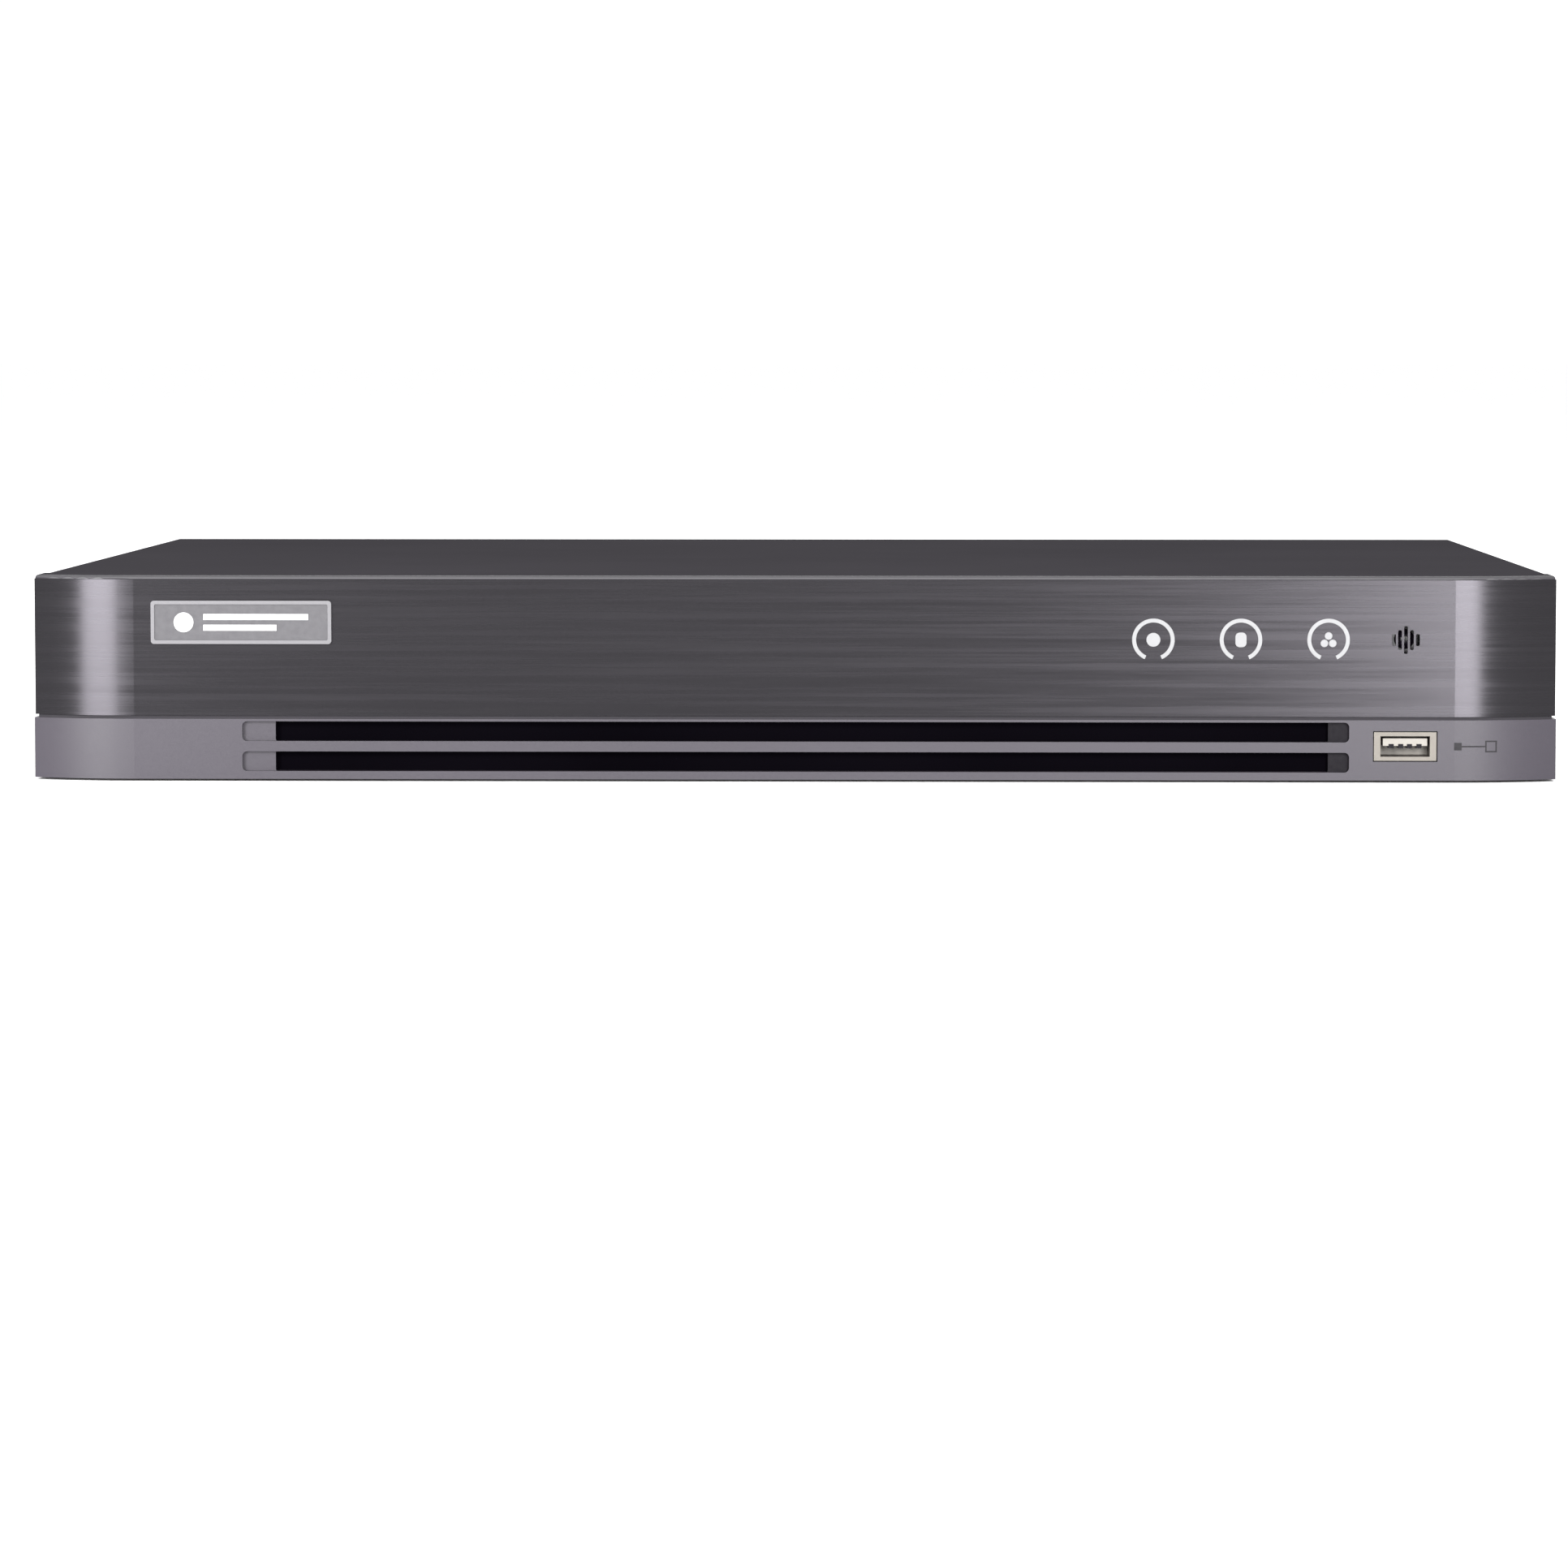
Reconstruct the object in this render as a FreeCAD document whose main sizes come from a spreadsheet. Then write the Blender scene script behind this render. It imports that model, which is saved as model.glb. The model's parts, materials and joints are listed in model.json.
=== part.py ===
"""A two-drive desktop video recorder: steel pan and cover, moulded bezel with a brushed fascia,
socketed rear panel, circuit boards, disks and fan, each piece a solid of its own.

Millimetres.  X runs to the right as seen from the front, Y to the rear, Z up.
The origin is the middle of the whole recorder's footprint, on the surface that it stands on.
"""

import FreeCAD
import Part
import math
import os
import re

import Sketcher
from FreeCAD import Placement, Rotation, Vector

doc = FreeCAD.newDocument("recorder")
sheet = doc.addObject("Spreadsheet::Sheet", "dims")

# ---------------------------------------------------------------- driving dimensions
DIMENSIONS = {
    # overall, and the sheet steel
    "width": 385.0,
    "depth": 315.0,
    "height": 52.0,
    "steel": 1.0,
    "air": 0.05,  # clearance between pieces that sit in one another
    # feet
    "foot_high": 3.0,
    "foot_radius": 9.0,
    "foot_out": 165.0,
    "foot_back": 116.0,
    # bezel and fascia
    "badge_proud": 0.6,
    "bezel_low": 0.6,
    "bezel_deep": 18.0,
    "bezel_wall": 2.6,
    "flat_half": 166.5,
    "plan_radius": 60.0,
    "edge_round": 0.9,
    "fascia_inset": 0.4,
    "fascia_thick": 0.8,
    "fascia_low": 16.6,
    "fascia_high": 51.0,
    "groove_high": 0.8,
    "groove_deep": 1.0,
    "intake_left": 139.1,
    "intake_right": 140.0,
    "intake_low": 2.6,
    "intake_tall": 5.0,
    "intake_bar": 2.6,
    "intake_round": 1.2,
    "pad_left": 8.3,
    "pad_right": 5.2,
    "pad_sunk": 1.5,
    "filter_half": 139.0,
    "filter_top": 17.2,
    "clip_wide": 8.0,
    "clip_inner": 58.0,
    "clip_outer": 172.0,
    # badge, indicator rings, infrared grille and front socket on the fascia
    "badge_mid": -139.2,
    "badge_level": 40.2,
    "badge_wide": 45.6,
    "badge_tall": 10.9,
    "ring_first": 90.7,
    "ring_pitch": 22.0,
    "ring_level": 36.0,
    "ring_outer": 5.35,
    "ring_inner": 4.35,
    "ring_gap": 24.0,
    "guide_radius": 6.2,
    "guide_plate": 2.0,
    "grille_mid": 154.1,
    "grille_pitch": 1.5,
    "grille_bar": 0.95,
    "grille_tall": 7.0,
    "port_mid": 154.1,
    "port_level": 9.2,
    # front board
    "front_board_at": 10.3,
    "board_thick": 1.6,
    # pan and cover
    "pan_half": 187.5,
    "cover_half": 192.0,
    "pan_top": 50.4,
    "skirt_low": 6.5,
    "wing_low": 7.6,
    "wing_half": 190.8,
    "side_high": 46.0,
    "flange_top": 5.3,
    "flange_side": 5.0,
    "tab_screw_level": 46.0,
    "side_screw_level": 26.4,
    "screw_hole": 1.6,
    # rear jacks
    "jack_reach": 13.5,
    "video_first": 168.0,
    "video_pitch": 16.9,
    "video_high": 32.5,
    "video_low": 17.6,
    "video_out_mid": 99.3,
    "barrel_radius": 4.85,
    "collar_radius": 6.4,
    "audio_first": 25.7,
    "audio_pitch": 15.05,
    "audio_high": 32.2,
    "audio_low": 18.2,
    "audio_reach": 10.0,
    "usb_mid": 99.1,
    "usb_level": 15.8,
    "display_mid": 78.8,
    "display_level": 14.8,
    "monitor_mid": 49.9,
    "monitor_level": 17.8,
    "post_spacing": 24.99,
    "lan_mid": 6.5,
    "lan_level": 17.5,
    "lan_wide": 16.2,
    "lan_tall": 14.4,
    "bus_mid": -10.3,
    "alarm_mid": -66.8,
    "block_low": 12.4,
    "block_tall": 13.0,
    "block_reach": 11.0,
    "block_deep": 17.0,
    "pin_pitch": 2.54,
    "lever_wide": 2.1,
    "lever_tall": 3.8,
    "lever_level": 23.1,
    "lever_press": 1.2,
    "dc_mid": -27.0,
    "dc_level": 13.9,
    "switch_mid": -41.4,
    "switch_level": 33.4,
    "rocker_tilt": 8.0,
    "earth_mid": -181.4,
    "earth_level": 13.6,
    # inside
    "board_low": 7.8,
    "board_left": -118.0,
    "board_right": 183.0,
    "board_front": 38.0,
    "disk_left_mid": -70.0,
    "disk_right_mid": 44.0,
    "disk_wide": 101.6,
    "disk_long": 147.0,
    "disk_tall": 26.1,
    "disk_front": -126.0,
    "disk_low": 6.0,
    "disk_hole_across": 95.25,
    "disk_hole_along": 44.45,
    "disk_hole_first": 61.0,
    "fan_size": 40.0,
    "fan_thick": 10.0,
    "fan_along": 80.0,
    "fan_level": 26.0,
    "fan_hole_pitch": 32.0,
}

for line, (alias, value) in enumerate(DIMENSIONS.items(), start=1):
    sheet.set(f"A{line}", alias)
    sheet.set(f"B{line}", str(value))
    sheet.setAlias(f"B{line}", alias)
doc.recompute()

# places that many pieces share, as expressions of the driving dimensions
FACE = "(badge_proud - depth / 2)"  # front surface of the bezel's lower band
FASCIA_FACE = f"({FACE} + fascia_inset)"
BEZEL_BACK = f"({FACE} + bezel_deep)"
REAR = "(depth / 2 - jack_reach)"  # outer surface of the rear panel
INNER_REAR = f"({REAR} - steel)"
PAN_FLOOR = "(foot_high + steel)"
GROOVE = "(fascia_low - groove_high)"
BAR_LOW = "(intake_low + intake_tall)"
BAR_HIGH = f"({BAR_LOW} + intake_bar)"
BOARD_TOP = "(board_low + board_thick)"
BEND = "((width / 2 - flat_half) / plan_radius)"  # sine of the angle at which the curved ends stop
BEND_COS = f"sqrt(1 - {BEND} ^ 2)"
CLIP_MIDS = ("-clip_outer", "-clip_inner", "clip_inner", "clip_outer")
FRONT_BOARD_POSTS = (("88.5", "23.5"), ("167.5", "23.5"), ("167.5", "42"))
TOP_VIEW, FRONT_VIEW, SIDE_VIEW = "XY_Plane", "XZ_Plane", "YZ_Plane"


def link(text):
    """An expression text with each dimension's name led back to the sheet."""
    return re.sub(r"[A-Za-z_]\w*", lambda w: ("dims." if w[0] in DIMENSIONS else "") + w[0], str(text))


def number(text):
    """The value that an expression text has now."""
    return float(sheet.evalExpression(link(text)))


def bind(thing, prop, text):
    """Ties a property to an expression of the sheet's cells."""
    thing.setExpression(prop, link(text))


def place(thing, at):
    """Binds a piece's position to three expressions."""
    for axis, text in zip("xyz", at):
        bind(thing, f"Placement.Base.{axis}", text)


# ---------------------------------------------------------------- Part primitives
AXIS_TURN = {
    "x": Rotation(Vector(0, 1, 0), 90),
    "y": Rotation(Vector(1, 0, 0), -90),
    "z": Rotation(),
}


def box(name, at, size):
    """A block from its lowest corner."""
    made = doc.addObject("Part::Box", name)
    place(made, at)
    for prop, text in zip(("Length", "Width", "Height"), size):
        bind(made, prop, text)
    return made


def middle_box(name, mid, size):
    """A block from its middle."""
    low = [f"({m}) - ({s}) / 2" for m, s in zip(mid, size)]
    return box(name, low, size)


def rod(name, axis, at, radius, length):
    """A cylinder that starts at a point and runs along an axis."""
    made = doc.addObject("Part::Cylinder", name)
    made.Placement = Placement(Vector(), AXIS_TURN[axis])
    place(made, at)
    bind(made, "Radius", radius)
    bind(made, "Height", length)
    return made


def cone(name, axis, at, start_radius, end_radius, length):
    """A cone that starts at a point and runs along an axis."""
    made = doc.addObject("Part::Cone", name)
    made.Placement = Placement(Vector(), AXIS_TURN[axis])
    place(made, at)
    bind(made, "Radius1", start_radius)
    bind(made, "Radius2", end_radius)
    bind(made, "Height", length)
    return made


def fuse(name, *things):
    made = doc.addObject("Part::MultiFuse", name)
    made.Shapes = list(things)
    return made


def cut(name, base, *tools):
    made = doc.addObject("Part::Cut", name)
    made.Base = base
    made.Tool = tools[0] if len(tools) == 1 else fuse(name + "_tools", *tools)
    return made


def group(name, *things):
    """Separate solids that make one node."""
    made = doc.addObject("Part::Compound", name)
    made.Links = list(things)
    return made


# ---------------------------------------------------------------- PartDesign bodies
def outline(sketch, *corners):
    """A closed outline: each corner is (x, y) or (x, y, (centre x, centre y, radius, turn)), where the
    extra item makes the stretch to the next corner an arc that turns left (1) or right (-1)."""
    spots = [(number(c[0]), number(c[1])) for c in corners]
    ends = []
    for i, corner in enumerate(corners):
        start, stop = spots[i], spots[(i + 1) % len(spots)]
        if len(corner) == 2:
            line = Part.LineSegment(Vector(*start, 0), Vector(*stop, 0))
            ends.append((sketch.addGeometry(line, False), 1, 2))
            continue
        mid_x, mid_y, radius, turn = corner[2]
        mid = (number(mid_x), number(mid_y))
        first, last = (start, stop) if turn > 0 else (stop, start)
        circle = Part.Circle(Vector(*mid, 0), Vector(0, 0, 1), number(radius))
        angles = [math.atan2(p[1] - mid[1], p[0] - mid[0]) for p in (first, last)]
        index = sketch.addGeometry(Part.ArcOfCircle(circle, *angles), False)
        ends.append((index, 1, 2) if turn > 0 else (index, 2, 1))
        held = sketch.addConstraint(Sketcher.Constraint("Radius", index, number(radius)))
        bind(sketch, f"Constraints[{held}]", radius)
    for i, (index, _, end) in enumerate(ends):
        following = ends[(i + 1) % len(ends)]
        sketch.addConstraint(Sketcher.Constraint("Coincident", index, end, following[0], following[1]))
    for (index, start, _), corner in zip(ends, corners):
        for kind, text in zip(("DistanceX", "DistanceY"), corner):
            rule = Sketcher.Constraint(kind, -1, 1, index, start, number(text))
            bind(sketch, f"Constraints[{sketch.addConstraint(rule)}]", text)


def rectangle(left, low, wide, tall):
    right, high = f"({left}) + ({wide})", f"({low}) + ({tall})"
    return lambda sketch: outline(sketch, (left, low), (right, low), (right, high), (left, high))


def middle_rectangle(mid_x, mid_y, wide, tall):
    return rectangle(f"({mid_x}) - ({wide}) / 2", f"({mid_y}) - ({tall}) / 2", wide, tall)


def rounded(left, low, wide, tall, radius):
    """A rectangle with four round corners."""
    right, high = f"({left}) + ({wide})", f"({low}) + ({tall})"
    in_left, in_right = f"({left}) + ({radius})", f"{right} - ({radius})"
    in_low, in_high = f"({low}) + ({radius})", f"{high} - ({radius})"
    corners = (
        (in_left, low),
        (in_right, low, (in_right, in_low, radius, 1)),
        (right, in_low),
        (right, in_high, (in_right, in_high, radius, 1)),
        (in_right, high),
        (in_left, high, (in_left, in_high, radius, 1)),
        (left, in_high),
        (left, in_low, (in_left, in_low, radius, 1)),
    )
    return lambda sketch: outline(sketch, *corners)


def polygon(*corners):
    return lambda sketch: outline(sketch, *corners)


def disc(mid_x, mid_y, radius):
    def draw(sketch):
        circle = Part.Circle(Vector(number(mid_x), number(mid_y), 0), Vector(0, 0, 1), number(radius))
        index = sketch.addGeometry(circle, False)
        rules = (("DistanceX", mid_x), ("DistanceY", mid_y))
        for kind, text in rules:
            rule = Sketcher.Constraint(kind, -1, 1, index, 3, number(text))
            bind(sketch, f"Constraints[{sketch.addConstraint(rule)}]", text)
        held = sketch.addConstraint(Sketcher.Constraint("Radius", index, number(radius)))
        bind(sketch, f"Constraints[{held}]", radius)

    return draw


class Piece:
    """A PartDesign body made of pads and pockets that run along a positive axis from a named place."""

    def __init__(self, name):
        self.body = doc.addObject("PartDesign::Body", name)
        self.count = 0

    def sketch(self, view, at, shapes):
        self.count += 1
        made = self.body.newObject("Sketcher::SketchObject", f"{self.body.Name}_sketch{self.count}")
        plane = next(f for f in self.body.Origin.OriginFeatures if f.Role == view)
        made.AttachmentSupport = [(plane, "")]
        made.MapMode = "FlatFace"
        bind(made, "AttachmentOffset.Base.z", f"-({at})" if view == FRONT_VIEW else at)
        for shape in shapes:
            shape(made)
        made.Visibility = False
        return made

    def feature(self, kind, view, at, length, shapes):
        profile = self.sketch(view, at, shapes)
        made = self.body.newObject(f"PartDesign::{kind}", f"{self.body.Name}_{kind.lower()}{self.count}")
        made.Profile = profile
        bind(made, "Length", length)
        made.Reversed = (view == FRONT_VIEW) == (kind == "Pad")
        return made

    def pad(self, view, at, length, *shapes):
        return self.feature("Pad", view, at, length, shapes)

    def pocket(self, view, at, length, *shapes):
        before = self.volume()
        made = self.feature("Pocket", view, at, length, shapes)
        after = self.volume()
        if not after < before - 1e-3:
            raise ValueError(f"{made.Name} cuts nothing")
        return made

    def volume(self):
        doc.recompute()
        return self.body.Shape.Volume

    def repeat(self, feature, axis, step, times):
        """Repeats a feature along an origin axis: step is the distance from one to the next."""
        made = self.body.newObject("PartDesign::LinearPattern", f"{feature.Name}_row")
        made.Originals = [feature]
        line = next(f for f in self.body.Origin.OriginFeatures if f.Role == axis)
        made.Direction = (line, [""])
        made.Occurrences = times
        bind(made, "Length", f"({step}) * {times - 1}")
        self.body.Tip = made
        return made

    def turn_around(self, feature, axis, times):
        """Repeats a feature round an origin axis."""
        made = self.body.newObject("PartDesign::PolarPattern", f"{feature.Name}_wheel")
        made.Originals = [feature]
        line = next(f for f in self.body.Origin.OriginFeatures if f.Role == axis)
        made.Axis = (line, [""])
        made.Angle = 360
        made.Occurrences = times
        self.body.Tip = made
        return made

    def soften(self, kind, size, chosen):
        """A Fillet or Chamfer on the edges that a test picks."""
        doc.recompute()
        base = self.body.Tip
        names = [f"Edge{i}" for i, e in enumerate(base.Shape.Edges, start=1) if chosen(e)]
        if not names:
            raise ValueError(f"no edge to soften on {self.body.Name}")
        self.count += 1
        made = self.body.newObject(f"PartDesign::{kind}", f"{self.body.Name}_{kind.lower()}{self.count}")
        made.Base = (base, names)
        bind(made, "Radius" if kind == "Fillet" else "Size", size)
        return made


# ---------------------------------------------------------------- plan curve of the front
def front_band(inset, depth_in):
    """The strip between the front's plan curve set back by two amounts, with radial ends."""
    corners = []
    for side, amount, turn in ((-1, inset, 1), (1, depth_in, -1)):
        reach = f"(plan_radius - ({amount}))"
        out = f"(flat_half + {reach} * {BEND})"
        back = f"({FACE} + plan_radius - {reach} * {BEND_COS})"
        flat = f"({FACE} + ({amount}))"
        mid = f"({FACE} + plan_radius)"
        far, near = (f"-{out}", "-flat_half") if side < 0 else (out, "flat_half")
        start, end = (far, back), (near, flat)
        other_far, other_near = (f"{out}", "flat_half") if side < 0 else (f"-{out}", "-flat_half")
        corners += [
            (*start, (near, mid, reach, turn)),
            end,
            (other_near, flat, (other_near, mid, reach, turn)),
            (other_far, back),
        ]
    return polygon(*corners)


def front_plan(inset, back, side):
    """The plan of the bezel set in by an amount: curved front corners, straight sides to the back."""
    reach = f"(plan_radius - ({inset}))"
    out = f"(width / 2 - ({side}))"
    sine = f"(({out} - flat_half) / {reach})"
    corner = f"({FACE} + plan_radius - {reach} * sqrt(1 - {sine} ^ 2))"
    flat = f"({FACE} + ({inset}))"
    mid = f"({FACE} + plan_radius)"
    return polygon(
        (f"-{out}", corner, ("-flat_half", mid, reach, 1)),
        ("-flat_half", flat),
        ("flat_half", flat, ("flat_half", mid, reach, 1)),
        (out, corner),
        (out, back),
        (f"-{out}", back),
    )


def horseshoe(mid_x, mid_y, grow):
    """An indicator ring, open at the bottom."""
    outer, inner = f"(ring_outer + ({grow}))", f"(ring_inner - ({grow}))"
    sine, cosine = "sin(ring_gap * 1 deg)", "cos(ring_gap * 1 deg)"
    low_out, low_in = f"{mid_y} - {outer} * {cosine}", f"{mid_y} - {inner} * {cosine}"
    return polygon(
        (f"{mid_x} + {outer} * {sine}", low_out, (mid_x, mid_y, outer, 1)),
        (f"{mid_x} - {outer} * {sine}", low_out),
        (f"{mid_x} - {inner} * {sine}", low_in, (mid_x, mid_y, inner, -1)),
        (f"{mid_x} + {inner} * {sine}", low_in),
    )


def ring_mid(index):
    return f"(ring_first + {index} * ring_pitch)"


def symbols(grow):
    """Inside the rings: a round dot, an upright rounded bar and three joined dots."""
    clover = [(0.0, 1.0), (-1.05, -0.85), (1.05, -0.85)]
    arms = [disc(f"{ring_mid(2)} + {x}", f"ring_level + {y}", f"0.95 + ({grow})") for x, y in clover]
    dot = disc(ring_mid(0), "ring_level", f"1.75 + ({grow})")
    bar = rounded(
        f"{ring_mid(1)} - 1.4 - ({grow})",
        f"ring_level - 1.85 - ({grow})",
        f"2.8 + 2 * ({grow})",
        f"3.7 + 2 * ({grow})",
        "1.1",
    )
    return [dot, bar, *arms]


# ---------------------------------------------------------------- casing
def build_bezel():
    piece = Piece("front_bezel")
    piece.pad(TOP_VIEW, "bezel_low", f"{GROOVE} - bezel_low", front_plan("0", BEZEL_BACK, "0"))
    upper = front_plan("fascia_inset", BEZEL_BACK, "fascia_inset")
    piece.pad(TOP_VIEW, GROOVE, f"height - {GROOVE}", upper)
    piece.soften("Fillet", "edge_round", lambda e: on_level(e, "height") and not at_back(e))
    hollow = front_plan("bezel_wall", f"{BEZEL_BACK} + 1", "bezel_wall")
    piece.pocket(TOP_VIEW, "bezel_low + 2", "height - bezel_low - 4", hollow)
    recess = front_band("-3", "fascia_inset + fascia_thick + air")
    piece.pocket(TOP_VIEW, "fascia_low - air", "fascia_high - fascia_low + 2 * air", recess)
    piece.pocket(TOP_VIEW, GROOVE, "groove_high", front_band("-3", "groove_deep"))
    flank = f"({FACE} + plan_radius * (1 - {BEND_COS}))"
    sides = [
        rectangle(left, f"{flank} - 1", "groove_deep + 1", "bezel_deep + 5")
        for left in ("width / 2 - groove_deep", "-width / 2 - 1")
    ]
    piece.pocket(TOP_VIEW, GROOVE, "groove_high", *sides)
    levels = ("intake_low", BAR_HIGH)
    long = "intake_left + intake_right"
    recesses = [rounded("-intake_left", low, long, "intake_tall", "intake_round") for low in levels]
    piece.pocket(FRONT_VIEW, f"{FACE} - 1", "1 + pad_sunk", *recesses)
    through = f"{long} - pad_left - pad_right"
    openings = [rounded("pad_left - intake_left", low, through, "intake_tall", "0.4") for low in levels]
    piece.pocket(FRONT_VIEW, f"{FACE} - 1", "bezel_wall + 2", *openings)
    port = middle_rectangle("port_mid", "port_level", "16.2", "7.7")
    guides = [disc(ring_mid(i), "ring_level", "guide_radius + air") for i in range(3)]
    window = disc("grille_mid", "ring_level", "5.2")
    piece.pocket(FRONT_VIEW, f"{FACE} - 1", "bezel_wall + 2", port, *guides, window)
    add_clips(piece)
    add_filter_seat(piece)
    posts = [disc(x, z, "2.6") for x, z in FRONT_BOARD_POSTS]
    piece.pad(FRONT_VIEW, f"{FACE} + bezel_wall - 0.5", "front_board_at - bezel_wall + 0.5", *posts)
    piece.pocket(FRONT_VIEW, f"{FACE} + 3", "9", *[disc(x, z, "1.2") for x, z in FRONT_BOARD_POSTS])


def add_filter_seat(piece):
    """A shelf over the air filter and a stop at each of its ends."""
    wall = f"{FACE} + bezel_wall - 0.5"
    shelf = rectangle("-filter_half", "filter_top + air", "2 * filter_half", "1.2")
    piece.pad(FRONT_VIEW, wall, "4", shelf)
    stops = [
        rectangle(left, "bezel_low + 1.9", "1.5", "filter_top - bezel_low - 1.5")
        for left in ("-filter_half", "filter_half - 1.5")
    ]
    piece.pad(FRONT_VIEW, wall, "1.5", *stops)


def build_filter():
    piece = Piece("air_filter")
    sheet_shape = rectangle("-filter_half", "bezel_low + 2", "2 * filter_half", "filter_top - bezel_low - 2")
    piece.pad(FRONT_VIEW, f"{FACE} + bezel_wall + 1", "1.5", sheet_shape)


def add_clips(piece):
    """Four hooks above and four below that snap through the pan's front wall."""
    back = BEZEL_BACK
    low_floor, high_floor = "(bezel_low + 2)", "(height - 2)"
    lower = polygon(
        (f"{back} - 6", low_floor),
        (back, low_floor),
        (back, f"{low_floor} + 2.4"),
        (f"{back} + 5", f"{low_floor} + 2.4"),
        (f"{back} + 5", f"{low_floor} + 3.2"),
        (f"{back} + 1.4", f"{low_floor} + 4.6"),
        (f"{back} + 1.4", f"{low_floor} + 4"),
        (f"{back} - 6", f"{low_floor} + 4"),
    )
    upper = polygon(
        (f"{back} - 6", high_floor),
        (f"{back} - 6", f"{high_floor} - 5.6"),
        (f"{back} + 1.4", f"{high_floor} - 5.6"),
        (f"{back} + 1.4", f"{high_floor} - 6.2"),
        (f"{back} + 5", f"{high_floor} - 4.8"),
        (f"{back} + 5", f"{high_floor} - 4"),
        (back, f"{high_floor} - 4"),
        (back, high_floor),
    )
    for shape in (lower, upper):
        for mid in CLIP_MIDS:
            piece.pad(SIDE_VIEW, f"{mid} - clip_wide / 2", "clip_wide", shape)


def on_level(edge, text):
    """Whether an edge lies flat at a height."""
    level = number(text)
    return all(abs(v.Z - level) < 1e-4 for v in edge.Vertexes)


def at_back(edge):
    back = number(BEZEL_BACK)
    return all(abs(v.Y - back) < 1e-4 for v in edge.Vertexes)


def grille_slots():
    """Five upright slots, the tallest in the middle, in front of the infrared receiver."""
    slots = []
    for step in (-2, -1, 0, 1, 2):
        tall = f"(grille_tall - {2 * abs(step)})"
        left = f"grille_mid + {step} * grille_pitch - grille_bar / 2"
        slots.append(rounded(left, f"ring_level - {tall} / 2", "grille_bar", tall, "0.35"))
    return slots


def build_fascia():
    piece = Piece("fascia_panel")
    sheet_shape = front_band("fascia_inset", "fascia_inset + fascia_thick")
    piece.pad(TOP_VIEW, "fascia_low", "fascia_high - fascia_low", sheet_shape)
    rings = [horseshoe(ring_mid(i), "ring_level", "air") for i in range(3)]
    piece.pocket(FRONT_VIEW, f"{FACE} - 1", "3", *rings, *symbols("air"), *grille_slots())


def build_badge():
    piece = Piece("badge_plate")
    left, low = "badge_mid - badge_wide / 2", "badge_level - badge_tall / 2"
    outer = rounded(left, low, "badge_wide", "badge_tall", "0.8")
    piece.pad(FRONT_VIEW, f"{FACE} - badge_proud", "badge_proud + fascia_inset", outer)
    inner = rounded(f"{left} + 0.9", f"{low} + 0.9", "badge_wide - 1.8", "badge_tall - 1.8", "0.4")
    piece.pocket(FRONT_VIEW, f"{FACE} - badge_proud - 1", "1.3", inner)


def build_light_guide():
    piece = Piece("indicator_light_guide")
    back = f"{FACE} + bezel_wall + air"
    bar = rectangle("ring_first - 9", "ring_level - 7", "2 * ring_pitch + 18", "14")
    piece.pad(FRONT_VIEW, back, "guide_plate", bar)
    discs = [disc(ring_mid(i), "ring_level", "guide_radius") for i in range(3)]
    seat = f"({FASCIA_FACE} + fascia_thick + air)"
    piece.pad(FRONT_VIEW, seat, f"{back} + 0.5 - {seat}", *discs)
    rings = [horseshoe(ring_mid(i), "ring_level", "0") for i in range(3)]
    piece.pad(FRONT_VIEW, f"{FASCIA_FACE} + air", "fascia_thick + 0.4", *rings, *symbols("0"))


# ---------------------------------------------------------------- pan and cover
def disk_holes():
    """The middles of the eight screw bosses below the two disks."""
    return [
        (
            f"({mid} + {side} * disk_hole_across / 2)",
            f"(disk_front + disk_hole_first + {row} * disk_hole_along)",
        )
        for mid in ("disk_left_mid", "disk_right_mid")
        for side in (-1, 1)
        for row in (0, 1)
    ]


def board_holes():
    """The middles of the six posts below the main board."""
    return [
        (across, along)
        for across in ("board_left + 6", "35", "board_right - 6")
        for along in ("board_front + 6", "board_front + 72")
    ]


def foot_spots():
    return [(f"{x} * foot_out", f"{y} * foot_back") for x in (-1, 1) for y in (-1, 1)]


def fan_holes():
    return [
        (f"fan_along + {y} * fan_hole_pitch / 2", f"fan_level + {z} * fan_hole_pitch / 2")
        for y in (-1, 1)
        for z in (-1, 1)
    ]


def video_in_spots():
    return [
        (f"(video_first - {column} * video_pitch)", level)
        for level in ("video_high", "video_low")
        for column in range(4)
    ]


def video_spots():
    return [*video_in_spots(), ("video_out_mid", "video_high")]


def audio_spots():
    row = [(f"(audio_first - {column} * audio_pitch)", "audio_high") for column in range(4)]
    return [*row, ("audio_first", "audio_low")]


def jack_screw_spots():
    high = "(audio_high + 0.4)"
    between = [(f"(audio_first - {column} * audio_pitch)", high) for column in (1.5, 2.5)]
    return [("(audio_first - 6.5)", "(audio_high - 6.9)"), *between]


def cover_screw_spots():
    return [("94.8", "tab_screw_level"), ("-87.5", "tab_screw_level")] + [
        (f"{side} * pan_half", "side_screw_level") for side in (-1, 1)
    ]


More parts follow.
